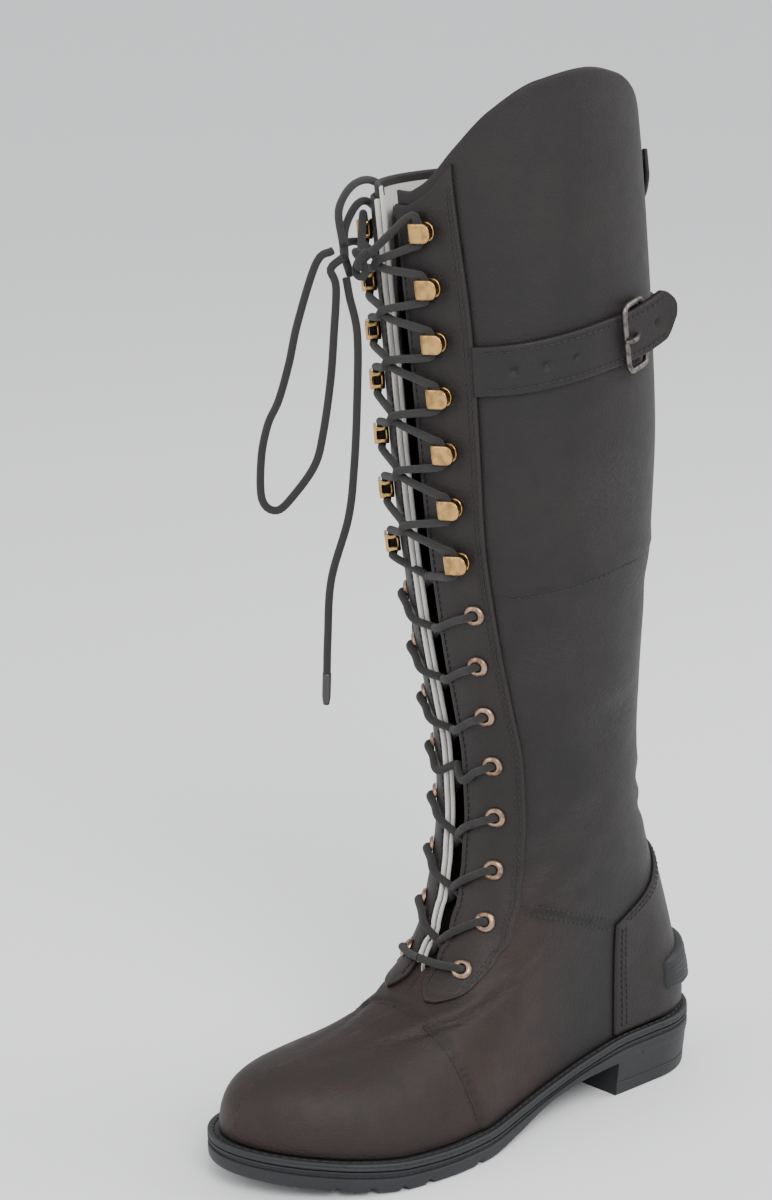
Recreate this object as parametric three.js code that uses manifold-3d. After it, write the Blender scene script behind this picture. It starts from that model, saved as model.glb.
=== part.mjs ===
// A lace-up riding boot for the left foot, knee high, with a collar that arches up on the outer side.
// Millimetres, +Z up. The toe points along -X, the outer side is -Y, and the origin is the middle
// of the heel's ground face.
import * as THREE from "three";
import { mergeVertices } from "three/addons/utils/BufferGeometryUtils.js";
import Module from "manifold-3d";

const wasm = await Module();
wasm.setup();

// Sole
const SOLE_LENGTH = 265;
const BALL_WIDTH = 100;
const HEEL_WIDTH = 68;
const HEEL_LENGTH = 66; // of the heel's ground face
const HEEL_RAKE = 2; // how far the heel tapers in, down to the floor
const SEAT_HEIGHT = 29; // floor to the top of the welt at the heel
const FOREPART_HEIGHT = 13; // floor to the top of the welt at the ball
const TOE_SPRING = 9;
const WAIST_THICKNESS = 9.5;
const LUG_DEPTH = 2.2;
const LUG_GROOVE = 3.2;
const WELT_THICKNESS = 3.4;
const WELT_MARGIN = 4; // how far the welt shows outside the upper
const WELT_BAND = 12;
const INSOLE_THICKNESS = 3;

// Upper
const WALL = 2.6;
const QUARTER_STEP = 1;
const TOE_END_ROUND = 58; // length of the rounded toe in plan
const HEEL_END_ROUND = 36;
const ANKLE_HEIGHT = 150;
const ANKLE_SET = 81; // back of the sole to the middle of the ankle
const ANKLE_DEPTH = 97;
const ANKLE_WIDTH = 79;
const CALF_DEPTH = 120;
const CALF_WIDTH = 109;
const SHAFT_LEAN = 13; // how far the collar stands further forward than the ankle
const ANKLE_SIDE_SET = 3; // how far the ankle stands towards the inner side of the heel
const COLLAR_SIDE_SET = 8;
const COLLAR_HEIGHT = 428;
const COLLAR_ARCH = 52;
const THROAT_LEVEL = 0.44;
const THROAT_GAP = 8;
const COLLAR_GAP = 16;
const THROAT_TURN = 15; // how far the opening has turned to the inner side at the collar

// Overlays and fittings
const GAP = 0.3;
const SKIN_GAP = 0.35; // between the upper and what lies on it
const FACING_WIDTH = 30;
const FACING_THICKNESS = 1.8;
const COUNTER_THICKNESS = 1.5;
const COUNTER_PEAK = 113;
const TONGUE_THICKNESS = 2;
const TONGUE_CLEAR = 1.5; // between the wall and the tongue's sides
const TONGUE_SINK = 7; // how far its middle falls back from the opening
const EYELET_COUNT = 8;
const EYELET_PITCH = 24;
const FITTING_INSET = 15.5; // opening edge to eyelet middle, low down
const EYELET_RADIUS = 4.7;
const EYELET_HOLE = 2.3;
const EYELET_HEIGHT = 1.3;
const HOOK_COUNT = 7;
const HOOK_PITCH = 24.2;
const HOOK_SET = 2.5; // how much nearer to the opening the hooks' middles are
const HOOK_WIDTH = 8.4;
const LACE_DIAMETER = 3.6;
const STRAP_WIDTH = 22;
const STRAP_THICKNESS = 2.4;
const STRAP_HEIGHT = 352;
const ZIP_WIDTH = 9;
const ZIP_THICKNESS = 1.4;

// Rows of the tongue's sheet and how it opens out
const TONGUE_ROWS = 15;
const TONGUE_COLUMNS = 8;
const TONGUE_TURN = 52; // how far it reaches round each way from the middle of the opening
const TONGUE_FOOT = 0.34; // level of its lower end, under the vamp
const TONGUE_TOP = 1.955;
const TONGUE_FOOT_TURN = 24;
const TONGUE_FLARE = 0.35;
const TONGUE_CROWD = 1.15;

const TURN_STEP = 0.01;

const FACING_COLUMNS = 4;
const EYELET_START = 0.46; // level of the lowest eyelet
const EYELET_SIDES = 8;
const EYELET_LIFT = 0.25;
const HOOK_LENGTH = 12;
const HOOK_BASE = 0.9;
const HOOK_MOUTH = 4.6;
const HOOK_PLATE = 1.1;
const COUNTER_COLUMNS = 16;
const COUNTER_FRONT = -33; // x of its front seam
const COUNTER_TURN_LEVEL = 0.3;
const SPUR_COLUMNS = 8;
const SPUR_LEVEL = 50;
const SPUR_HEIGHT = 22;
const SPUR_THICKNESS = 5;
const ZIP_TOP_SET = 3;
const TAB_LEVEL = 417;
const TAB_HEIGHT = 19;
const TAB_THICKNESS = 2;
const TAB_TURN_INNER = 12;
const TAB_TURN_OUTER = 36;
const STUD_RADIUS = 5;
const STUD_HEIGHT = 2.4;
const BUCKLE_TURN = 94;
const STRAP_RISE = 10;
const STRAP_CLIMB = 0.12;
const STRAP_COLUMNS = 9;
const STRAP_CLEAR = 1.6; // between the strap and the facing's rear edge, which slants
const STRAP_FREE_COLUMNS = 4;
const STRAP_FREE = 35;
const STRAP_FREE_RISE = 7;
const STRAP_FLARE = 4;
const STRAP_POINT = 0.12;
const PRONG_SLOT = 7;
const PRONG_SLOT_SET = 11;
const PRONG_WIDTH = 2.4;
const BUCKLE_WIRE = 2.6;
const BUCKLE_LENGTH = 19;
const BUCKLE_SIDE_CLEAR = 2.2;
const BUCKLE_REAR_DROP = 0.4;
const BUCKLE_DEPTH = 2.2;
const BUCKLE_TILT_CLEAR = 0.6; // room under the front bar for the frame's tilt
const CHAPE_SHARE = 0.85;
const CHAPE_THICKNESS = 2.2;
const CHAPE_RISE = 3;
const LACE_SIDES = 6;
const CORD_SIDES = 8;
const AGLET_LENGTH = 14;
const AGLET_RADIUS = 2;
const LACE_SLACK = 2.6;
const KNOT_RADIUS = 6;
const KNOT_DROP = 9;

const LEATHER = { color: 0x3a3536, roughness: 0.62, metalness: 0 };
const WAXED_LEATHER = { color: 0x463a38, roughness: 0.5, metalness: 0 };
const RUBBER = { color: 0x23282e, roughness: 0.8, metalness: 0 };
const FELT = { color: 0xcfcbc0, roughness: 0.95, metalness: 0 };
const BRASS = { color: 0xb8863f, roughness: 0.35, metalness: 1 };
const COPPER = { color: 0x94745f, roughness: 0.4, metalness: 1 };
const DARK_METAL = { color: 0x6d6962, roughness: 0.45, metalness: 1 };
const CORD = { color: 0x34312f, roughness: 0.9, metalness: 0 };
const TAPE = { color: 0x1d1c1d, roughness: 0.85, metalness: 0 };

const mix = (a, b, share) => a + (b - a) * share;
const clamp = (value, low, high) => Math.min(Math.max(value, low), high);
const ease = (share) => share * share * (3 - 2 * share);
const degrees = (angle) => (angle * Math.PI) / 180;

/** Monotone cubic curve through a table's rows, from one named column to another. */
function curve(rows, from, to) {
  const x = rows.map((row) => row[from]);
  const y = rows.map((row) => row[to]);
  const last = x.length - 1;
  const chord = x.slice(1).map((value, i) => (y[i + 1] - y[i]) / (value - x[i]));
  const slope = y.map((_, i) => {
    if (i === 0) return chord[0];
    if (i === last) return chord[last - 1];
    if (chord[i - 1] * chord[i] <= 0) return 0;
    return (2 * chord[i - 1] * chord[i]) / (chord[i - 1] + chord[i]);
  });
  return (at) => {
    const value = clamp(at, x[0], x[last]);
    let i = 0;
    while (i < last - 1 && value > x[i + 1]) i += 1;
    const width = x[i + 1] - x[i];
    const t = (value - x[i]) / width;
    const rest = 1 - t;
    return (
      y[i] * (1 + 2 * t) * rest * rest +
      y[i + 1] * t * t * (3 - 2 * t) +
      slope[i] * width * t * rest * rest -
      slope[i + 1] * width * t * t * rest
    );
  };
}

// Sole, from the back of the heel to the toe tip.
// at: share of SOLE_LENGTH. ball and heel: shares of those widths that add up to the width there.
// middle: share of half of BALL_WIDTH, towards the inner side.
// seat, fore, spring: shares of those heights that add up to the top of the welt.
// arch: how far the underside has risen from the floor to under the waist. lift: share of TOE_SPRING.
const SOLE_ROWS = [
  { at: 0.0, ball: 0.0, heel: 1.0, middle: 0.0, seat: 1.0, fore: 0.0, spring: 0.0, arch: 1.0, lift: 0.0 },
  { at: 0.12, ball: 0.0, heel: 1.0, middle: 0.0, seat: 1.0, fore: 0.0, spring: 0.0, arch: 1.0, lift: 0.0 },
  { at: 0.22, ball: 0.1, heel: 0.85, middle: -0.01, seat: 0.97, fore: 0.05, spring: 0.0, arch: 1.0, lift: 0.0 },
  { at: 0.32, ball: 0.24, heel: 0.6, middle: -0.05, seat: 0.78, fore: 0.2, spring: 0.0, arch: 0.95, lift: 0.0 },
  { at: 0.42, ball: 0.42, heel: 0.32, middle: -0.08, seat: 0.46, fore: 0.48, spring: 0.0, arch: 0.7, lift: 0.0 },
  { at: 0.52, ball: 0.66, heel: 0.12, middle: -0.06, seat: 0.15, fore: 0.84, spring: 0.0, arch: 0.24, lift: 0.0 },
  { at: 0.61, ball: 0.88, heel: 0.02, middle: 0.0, seat: 0.0, fore: 1.0, spring: 0.0, arch: 0.0, lift: 0.0 },
  { at: 0.7, ball: 0.985, heel: 0.0, middle: 0.07, seat: 0.0, fore: 1.0, spring: 0.0, arch: 0.0, lift: 0.0 },
  { at: 0.77, ball: 1.0, heel: 0.0, middle: 0.13, seat: 0.0, fore: 1.0, spring: 0.06, arch: 0.0, lift: 0.0 },
  { at: 0.85, ball: 0.965, heel: 0.0, middle: 0.2, seat: 0.0, fore: 1.0, spring: 0.28, arch: 0.0, lift: 0.22 },
  { at: 0.92, ball: 0.92, heel: 0.0, middle: 0.25, seat: 0.0, fore: 1.0, spring: 0.58, arch: 0.0, lift: 0.55 },
  { at: 1.0, ball: 0.87, heel: 0.0, middle: 0.28, seat: 0.0, fore: 1.0, spring: 1.0, arch: 0.0, lift: 1.0 },
];

// Side of the outsole, from its underside up to the welt.
// lift: share of its thickness. inset: how far that edge stands in from the outline.
const SIDE_ROWS = [
  { lift: 0.0, inset: 1.6 },
  { lift: 0.16, inset: 0.2 },
  { lift: 0.66, inset: 0.0 },
  { lift: 0.74, inset: 1.0 },
  { lift: 0.86, inset: 1.0 },
  { lift: 0.92, inset: 0.0 },
  { lift: 1.0, inset: 0.0 },
];

// Foot of the upper, from the welt up to the ankle.
// rise: share of the height to the ankle. reach: share of the way from the ankle's front to the toe.
// tuck: share of the way from the heel's back to the ankle's back. oval: how far the leg's oval
// has taken over from the foot's outline.
const FOOT_ROWS = [
  { rise: 0.0, reach: 1.0, tuck: 0.0, oval: 0.0 },
  { rise: 0.045, reach: 0.998, tuck: -0.02, oval: 0.0 },
  { rise: 0.105, reach: 0.982, tuck: 0.01, oval: 0.0 },
  { rise: 0.174, reach: 0.935, tuck: 0.07, oval: 0.0 },
  { rise: 0.223, reach: 0.86, tuck: 0.125, oval: 0.01 },
  { rise: 0.257, reach: 0.744, tuck: 0.165, oval: 0.02 },
  { rise: 0.274, reach: 0.642, tuck: 0.19, oval: 0.03 },
  { rise: 0.308, reach: 0.471, tuck: 0.235, oval: 0.05 },
  { rise: 0.358, reach: 0.334, tuck: 0.29, oval: 0.09 },
  { rise: 0.43, reach: 0.239, tuck: 0.37, oval: 0.2 },
  { rise: 0.52, reach: 0.15, tuck: 0.475, oval: 0.38 },
  { rise: 0.627, reach: 0.089, tuck: 0.61, oval: 0.62 },
  { rise: 0.775, reach: 0.034, tuck: 0.8, oval: 0.86 },
];

// Shaft, from the ankle up to the level part of the collar.
// rise: share of that height. swell: how far it has widened from the ankle to the calf.
// lean: share of SHAFT_LEAN, forwards.
const SHAFT_ROWS = [
  { rise: 0.0, swell: 0.0, lean: 0.0 },
  { rise: 0.08, swell: 0.02, lean: 0.03 },
  { rise: 0.17, swell: 0.2, lean: 0.14 },
  { rise: 0.25, swell: 0.39, lean: 0.24 },
  { rise: 0.33, swell: 0.57, lean: 0.3 },
  { rise: 0.47, swell: 0.85, lean: 0.36 },
  { rise: 0.6, swell: 1.0, lean: 0.42 },
  { rise: 0.73, swell: 1.03, lean: 0.55 },
  { rise: 0.87, swell: 1.01, lean: 0.77 },
  { rise: 1.0, swell: 0.96, lean: 1.0 },
];

// Collar. turn: degrees round the shaft from the front by the outer side. arch: share of COLLAR_ARCH.
const COLLAR_ROWS = [
  { turn: 0, arch: 0.0 },
  { turn: 9, arch: 0.11 },
  { turn: 22, arch: 0.38 },
  { turn: 38, arch: 0.68 },
  { turn: 60, arch: 0.92 },
  { turn: 85, arch: 1.0 },
  { turn: 104, arch: 0.93 },
  { turn: 120, arch: 0.78 },
  { turn: 136, arch: 0.5 },
  { turn: 152, arch: 0.2 },
  { turn: 170, arch: 0.02 },
  { turn: 180, arch: 0.0 },
];

// Seam between vamp and quarters, from the welt up. ahead: share of the way from the ankle's front to
// the toe. rise: share of ANKLE_HEIGHT.
const VAMP_ROWS = [
  { ahead: 0.22, rise: 0.0 },
  { ahead: 0.235, rise: 0.11 },
  { ahead: 0.28, rise: 0.23 },
  { ahead: 0.305, rise: 0.314 },
  { ahead: 0.33, rise: 0.405 },
  { ahead: 0.325, rise: 0.455 },
  { ahead: 0.275, rise: 0.52 },
  { ahead: 0.275, rise: 0.7 },
];

// Facing. near and far: its edges, as shares of FACING_WIDTH from the edge of the opening.
const FACING_ROWS = [
  { level: 0.372, near: 0.3, far: 0.45 },
  { level: 0.385, near: 0.2, far: 0.66 },
  { level: 0.4, near: 0.12, far: 0.79 },
  { level: 0.42, near: 0.05, far: 0.84 },
  { level: 0.44, near: 0.04, far: 0.87 },
  { level: 0.465, near: 0.03, far: 0.9 },
  { level: 0.5, near: 0.03, far: 0.96 },
  { level: 0.56, near: 0.03, far: 1.0 },
  { level: 1.4, near: 0.03, far: 1.03 },
  { level: 1.6, near: 0.03, far: 1.13 },
  { level: 1.8, near: 0.03, far: 1.2 },
  { level: 1.98, near: 0.03, far: 1.3 },
];
const FACING_LEVELS = [
  0.372, 0.385, 0.4, 0.42, 0.45, 0.48, 0.52, 0.57, 0.627, 0.7, 0.775, 0.88, 1, 1.08, 1.17, 1.25, 1.33, 1.47,
  1.6, 1.66, 1.73, 1.8, 1.87, 1.93, 1.98,
];

// Line of the eyelets and hooks. set: its distance from the opening, as a share of FITTING_INSET.
const FITTING_ROWS = [
  { level: 0.45, set: 0.95 },
  { level: 0.6, set: 1.12 },
  { level: 1.1, set: 1.12 },
  { level: 1.25, set: 1.25 },
  { level: 1.35, set: 1.42 },
  { level: 2, set: 1.45 },
];

// A lace's way over the opening. over: share of the way from its middle. slack: share of LACE_SLACK.
const LACE_CROSS_ROWS = [
  { over: -0.35, slack: 0.9 },
  { over: 0.35, slack: 0.9 },
];

// Counter. round: share of the way from the back to its front seam. peak: share of COUNTER_PEAK.
const COUNTER_ROWS = [
  { round: 0.0, peak: 1.0 },
  { round: 0.3, peak: 0.97 },
  { round: 0.62, peak: 0.87 },
  { round: 1.0, peak: 0.75 },
];
const COUNTER_LEVELS = [0.02, 0.12, 0.26, 0.42, 0.62, 0.8, 1];

// Free cords, from the knot. fore, side and rise: millimetres forwards, to the inner side and up.
const LACE_END_OUTER = [
  { fore: 4, side: 5, rise: -7 },
  { fore: 5.2, side: 1.7, rise: -14.6 },
  { fore: 4, side: -1.6, rise: -31.1 },
  { fore: 4.5, side: -1.1, rise: -61.1 },
  { fore: 6, side: -0.1, rise: -89.1 },
  { fore: 8.2, side: 1.9, rise: -112.1 },
  { fore: 14.2, side: 7.4, rise: -140.1 },
  { fore: 15.7, side: 8.9, rise: -167.1 },
  { fore: 16.2, side: 9.4, rise: -183.1 },
];

const LACE_LOOP_OUTER = [
  { fore: 6, side: 5, rise: 2 },
  { fore: 10.9, side: 7.2, rise: -2.6 },
  { fore: 10.4, side: 4.4, rise: -10.1 },
  { fore: 11.4, side: 5.4, rise: -31.1 },
  { fore: 13, side: 6.4, rise: -51.1 },
  { fore: 15.7, side: 8.9, rise: -74.1 },
  { fore: 18.7, side: 11.4, rise: -88.1 },
  { fore: 25.7, side: 17.4, rise: -101.1 },
  { fore: 31.7, side: 22.4, rise: -108.1 },
  { fore: 36.7, side: 26.4, rise: -103.1 },
  { fore: 36.2, side: 26.9, rise: -85.1 },
  { fore: 33.7, side: 24.9, rise: -70.1 },
  { fore: 30, side: 21.4, rise: -59.1 },
  { fore: 26.2, side: 18.4, rise: -43.1 },
  { fore: 23.2, side: 15.4, rise: -25.1 },
  { fore: 15.4, side: 11.2, rise: 0.4 },
  { fore: 8, side: 9, rise: 5 },
];

const LACE_LOOP_INNER = [
  { fore: 2, side: 8, rise: 1 },
  { fore: -6.1, side: 16.7, rise: 12.4 },
  { fore: -22.3, side: 26.4, rise: 20.9 },
  { fore: -42.3, side: 39.4, rise: 16.9 },
  { fore: -56.3, side: 43.4, rise: 0.9 },
  { fore: -62.3, side: 42.4, rise: -31.1 },
  { fore: -64.3, side: 40.4, rise: -76.1 },
  { fore: -69.3, side: 39.4, rise: -91.1 },
  { fore: -74.3, side: 39.4, rise: -79.1 },
  { fore: -75.3, side: 41.4, rise: -36.1 },
  { fore: -70.3, side: 44.4, rise: 2.9 },
  { fore: -50.3, side: 43.4, rise: 24.9 },
  { fore: -26.3, side: 32.4, rise: 28.9 },
  { fore: -7.1, side: 21.7, rise: 20.4 },
  { fore: 1, side: 10, rise: 6 },
];

const LACE_END_INNER = [
  { fore: 0, side: 7, rise: -6 },
  { fore: -6, side: 18, rise: 2 },
  { fore: -21, side: 33, rise: 3 },
  { fore: -40, side: 43, rise: -1 },
  { fore: -54, side: 41, rise: -17 },
  { fore: -56.3, side: 39.4, rise: -51.1 },
  { fore: -57.3, side: 37.4, rise: -91.1 },
  { fore: -56.3, side: 34.4, rise: -131.1 },
  { fore: -56.3, side: 31.4, rise: -166.1 },
  { fore: -56.3, side: 30.4, rise: -179.1 },
];

// Grooves of the outsole. at: share of SOLE_LENGTH.
const LUG_ROWS = [{ at: 0.05 }, { at: 0.2 }, { at: 0.63 }, { at: 0.74 }, { at: 0.79 }, { at: 0.84 }, { at: 0.89 }];

const soleBack = HEEL_LENGTH / 2 + HEEL_RAKE;
const soleShare = (x) => (soleBack - x) / SOLE_LENGTH;
const soleX = (share) => soleBack - share * SOLE_LENGTH;
const ballShare = curve(SOLE_ROWS, "at", "ball");
const heelShare = curve(SOLE_ROWS, "at", "heel");
const middleShare = curve(SOLE_ROWS, "at", "middle");
const seatShare = curve(SOLE_ROWS, "at", "seat");
const foreShare = curve(SOLE_ROWS, "at", "fore");
const springShare = curve(SOLE_ROWS, "at", "spring");
const archShare = curve(SOLE_ROWS, "at", "arch");
const liftShare = curve(SOLE_ROWS, "at", "lift");

/** How far the rounded toe and heel close the outline at x: 1 where neither does. */
function endRound(x, toe, back) {
  const toeLeft = clamp(1 - (x - toe) / TOE_END_ROUND, 0, 1);
  const heelLeft = clamp(1 - (back - x) / HEEL_END_ROUND, 0, 1);
  return Math.sqrt((1 - toeLeft * toeLeft) * (1 - heelLeft * heelLeft));
}

/** Half the width of the sole's outline at x, before its ends close. */
function soleHalf(x) {
  const share = soleShare(x);
  return (ballShare(share) * BALL_WIDTH + heelShare(share) * HEEL_WIDTH) / 2;
}

const soleMiddle = (x) => (middleShare(soleShare(x)) * BALL_WIDTH) / 2;

/** Top of the welt at x. */
function weltTop(x) {
  const share = soleShare(x);
  return (
    seatShare(share) * SEAT_HEIGHT +
    foreShare(share) * FOREPART_HEIGHT +
    springShare(share) * TOE_SPRING
  );
}

/** Underside of the outsole at x, without the heel's block. */
function soleUnder(x) {
  const share = soleShare(x);
  const waist = SEAT_HEIGHT - WELT_THICKNESS - WAIST_THICKNESS;
  return archShare(share) * waist + liftShare(share) * TOE_SPRING;
}

const COLUMNS = 36;
const SOLE_COLUMNS = 48;

/** One closed outline of the sole, inset from its edge, with its own height for each x. */
function soleRing(inset, heightAt, columns = SOLE_COLUMNS) {
  const toe = soleX(1) + inset;
  const back = soleBack - inset;
  return Array.from({ length: columns }, (_, i) => {
    const turn = (2 * Math.PI * i) / columns;
    const x = mix(toe, back, (1 - Math.cos(turn)) / 2);
    const half = (soleHalf(x) - inset) * endRound(x, toe, back);
    const side = 2 * i < columns ? -1 : 1;
    return [x, soleMiddle(x) + side * half, heightAt(x)];
  });
}

/** A closed solid through rings, bottom first, that have as many points and mirror left to right. */
function stack(rings) {
  const columns = rings[0].length;
  const half = columns / 2;
  const triangles = [];
  rings.slice(1).forEach((_, r) => {
    for (let i = 0; i < columns; i += 1) {
      const next = (i + 1) % columns;
      const a = r * columns + i;
      const b = r * columns + next;
      const c = (r + 1) * columns + next;
      const d = (r + 1) * columns + i;
      triangles.push([a, b, c], [a, c, d]);
    }
  });
  const top = (rings.length - 1) * columns;
  for (let i = 0; i < half; i += 1) {
    const left = [i, i + 1];
    const right = [(columns - i) % columns, columns - i - 1];
    if (i < half - 1) {
      triangles.push([top + left[0], top + left[1], top + right[1]]);
      triangles.push([left[1], left[0], right[1]]);
    }
    if (i > 0) {
      triangles.push([top + left[0], top + right[1], top + right[0]]);
      triangles.push([left[0], right[0], right[1]]);
    }
  }
  return solidFrom(rings.flat(), triangles);
}

/** A manifold solid from points and triangles. */
function solidFrom(points, triangles) {
  return new wasm.Manifold(
    new wasm.Mesh({
      numProp: 3,
      vertProperties: new Float32Array(points.flat()),
      triVerts: new Uint32Array(triangles.flat()),
    }),
  );
}

/** A manifold solid from a closed three.js geometry. */
function solidOf(geometry) {
  const bare = geometry.clone();
  bare.deleteAttribute("normal");
  bare.deleteAttribute("uv");
  const merged = mergeVertices(bare, 1e-4);
  return new wasm.Manifold(
    new wasm.Mesh({
      numProp: 3,
      vertProperties: new Float32Array(merged.attributes.position.array),
      triVerts: new Uint32Array(merged.index.array),
    }),
  );
}

/** A three.js geometry from a manifold solid. */
function geometryOf(solid) {
  const mesh = solid.getMesh();
  const geometry = new THREE.BufferGeometry();
  const position = new Float32Array(mesh.numVert * 3);
  for (let i = 0; i < mesh.numVert; i += 1) {
    position.set(mesh.vertProperties.subarray(i * mesh.numProp, i * mesh.numProp + 3), i * 3);
  }
  geometry.setAttribute("position", new THREE.BufferAttribute(position, 3));
  geometry.setIndex(new THREE.BufferAttribute(new Uint32Array(mesh.triVerts), 1));
  return geometry;
}

const shapeOf = (points) => new THREE.Shape(points.map(([u, v]) => new THREE.Vector2(u, v)));

/** A prism from an outline drawn in side view, as [x, z], between two values of y. */
function sidePrism(points, fromY, toY) {
  const geometry = new THREE.ExtrudeGeometry(shapeOf(points), {
    depth: toY - fromY,
    bevelEnabled: false,
  });
  geometry.rotateX(Math.PI / 2);
  geometry.translate(0, toY, 0);
  return solidOf(geometry);
}

/** A prism from an outline drawn in back view, as [y, z], between two values of x. */
function backPrism(points, fromX, toX) {
  const geometry = new THREE.ExtrudeGeometry(shapeOf(points), {
    depth: toX - fromX,
    bevelEnabled: false,
  });
  const turned = new THREE.Matrix4().makeBasis(
    new THREE.Vector3(0, 1, 0),
    new THREE.Vector3(0, 0, 1),
    new THREE.Vector3(1, 0, 0),
  );
  geometry.applyMatrix4(turned);
  geometry.translate(fromX, 0, 0);
  return solidOf(geometry);
}

// Levels of the upper: 0 at the welt, 1 at the ankle and 2 at the level part of the collar.
const upperToe = soleX(1) + WELT_MARGIN;
const upperBack = soleBack - WELT_MARGIN;
const ankleMiddle = soleBack - ANKLE_SET;
const ankleFront = ankleMiddle - ANKLE_DEPTH / 2;
const ankleBack = ankleMiddle + ANKLE_DEPTH / 2;
const upperFoot = SEAT_HEIGHT + 1.5 * GAP;

const LEVELS = [
  ...FOOT_ROWS.map((row) => ({
    level: row.rise,
    height: mix(upperFoot, ANKLE_HEIGHT, row.rise),
    front: mix(ankleFront, upperToe, row.reach),
    back: mix(upperBack, ankleBack, row.tuck),
    width: ANKLE_WIDTH,
    side: ANKLE_SIDE_SET,
    oval: row.oval,
  })),
  ...SHAFT_ROWS.map((row) => {
    const middle = ankleMiddle - SHAFT_LEAN * row.lean;
    const depth = mix(ANKLE_DEPTH, CALF_DEPTH, row.swell);
    return {
      level: 1 + row.rise,
      height: mix(ANKLE_HEIGHT, COLLAR_HEIGHT, row.rise),
      front: middle - depth / 2,
      back: middle + depth / 2,
      width: mix(ANKLE_WIDTH, CALF_WIDTH, row.swell),
      side: mix(ANKLE_SIDE_SET, COLLAR_SIDE_SET, row.lean),
      oval: 1,
    };
  }),
];
const heightAt = curve(LEVELS, "level", "height");
const frontAt = curve(LEVELS, "level", "front");
const backAt = curve(LEVELS, "level", "back");
const widthAt = curve(LEVELS, "level", "width");
const sideAt = curve(LEVELS, "level", "side");
const ovalAt = curve(LEVELS, "level", "oval");
const archAt = curve(COLLAR_ROWS, "turn", "arch");
const RETREAT_ROWS = [
  ...FOOT_ROWS.map((row) => ({ retreat: 1 - row.reach, level: row.rise })),
  { retreat: 1, level: 1 },
];
const levelOfRetreat = curve(RETREAT_ROWS, "retreat", "level");

const VAMP_ROUND = 2.4;
const LEG_ROUND = 2.15;
const LEG_EGG = 0.93;
const HEEL_SHELTER = 0.035; // how fast the closing of the vamp fades behind the ankle's front
const ARCH_START = 1.66; // level where the collar's arch starts to lift the rows

/** Half width of the foot form at x on a level. */
function footHalf(x, level, back) {
  const shift = (upperBack - back) * clamp((x - ankleFront) / (back - ankleFront), 0, 1);
  const planX = x + shift;
  const plan = (soleHalf(planX) - WELT_MARGIN) * endRound(planX, upperToe, upperBack);
  const reach = clamp((ankleFront - x) / (ankleFront - upperToe), 0, 1);
  const behind = Math.max(0, x - ankleFront);
  const top = levelOfRetreat(1 - reach) * (1 + behind * HEEL_SHELTER);
  const share = clamp(level / Math.max(top, 1e-6), 0, 1);
  return plan * Math.sqrt(Math.max(0, 1 - share ** VAMP_ROUND));
}

/** Half width of the leg's oval, at a share of its depth from the front. */
function legHalf(share, width) {
  const along = Math.abs(2 * share ** LEG_EGG - 1);
  return (width / 2) * Math.max(0, 1 - along ** LEG_ROUND) ** (1 / 2);
}

/** A point of the upper's outer surface. turn runs from the front by the outer side, in radians. */
function bodyPoint(level, turn) {
  const front = frontAt(level);
  const back = backAt(level);
  const share = (1 - Math.cos(turn)) / 2;
  const x = mix(front, back, share);
  const oval = ovalAt(level);
  const half = mix(footHalf(x, level, back), legHalf(share, widthAt(level)), oval);
  const middle = mix(soleMiddle(x), sideAt(level), oval);
  const side = -Math.sign(Math.sin(turn));
  const closed = Math.abs(Math.sin(turn)) < 1e-9 ? 0 : half;
  const sink = (weltTop(x) - SEAT_HEIGHT) * (1 - Math.min(level, 1)) ** 2;
  const lift = ease(clamp((level - ARCH_START) / (2 - ARCH_START), 0, 1));
  const outer = turn <= Math.PI && turn >= 0 ? archAt((turn * 180) / Math.PI) : 0;
  return new THREE.Vector3(
    x,
    middle + side * closed,
    heightAt(level) + sink + COLLAR_ARCH * outer * lift,
  );
}

/** The outward normal there. */
function bodyNormal(level, turn) {
  const low = Math.max(level - 0.004, 0);
  const high = Math.min(level + 0.004, 2);
  const up = bodyPoint(high, turn).sub(bodyPoint(low, turn));
  const round = bodyPoint(level, turn + 0.01).sub(bodyPoint(level, turn - 0.01));
  return round.cross(up).normalize();
}

/** A point at a distance outside the upper's surface, or inside it where the distance is negative. */
function skinPoint(level, turn, offset) {
  return bodyPoint(level, turn).addScaledVector(bodyNormal(level, turn), offset);
}

const UPPER_LEVELS = [
  ...FOOT_ROWS.map((row) => row.rise),
  0.88,
  ...SHAFT_ROWS.map((row) => 1 + row.rise),
  1.66,
  1.8,
  1.93,
].sort((a, b) => a - b);

const ringAt = (level, offset) =>
  Array.from({ length: COLUMNS }, (_, i) =>
    skinPoint(level, (2 * Math.PI * i) / COLUMNS, offset).toArray(),
  );

const shifted = (ring, dz) => ring.map(([x, y, z]) => [x, y, z + dz]);

/** The upper's form grown by a distance, and drawn out past its welt and its collar. */
function skin(offset, past = 0) {
  const rings = UPPER_LEVELS.map((level) => ringAt(level, offset));
  if (past > 0) {
    rings.unshift(shifted(rings[0], -past));
    rings.push(shifted(rings[rings.length - 1], past));
  }
  return stack(rings);
}

/** The layer between two distances outside the upper. */
function layer(from, thickness) {
  return skin(from + thickness).subtract(skin(from, 2));
}

const group = new THREE.Group();

/** Adds a named piece with its own material. */
function add(name, solid, look) {
  const geometry = solid.isBufferGeometry ? solid : geometryOf(solid);
  const mesh = new THREE.Mesh(geometry, new THREE.MeshStandardMaterial(look));
  mesh.name = name;
  group.add(mesh);
  return mesh;
}

/** Share of the way up the opening, 0 at the throat and 1 at the collar. */
const openShare = (level) => clamp((level - THROAT_LEVEL) / (2 - THROAT_LEVEL), 0, 1);

/** Where the middle of the opening runs on a level. */
const openMiddle = (level) => bodyPoint(level, -degrees(THROAT_TURN) * openShare(level));

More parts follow.
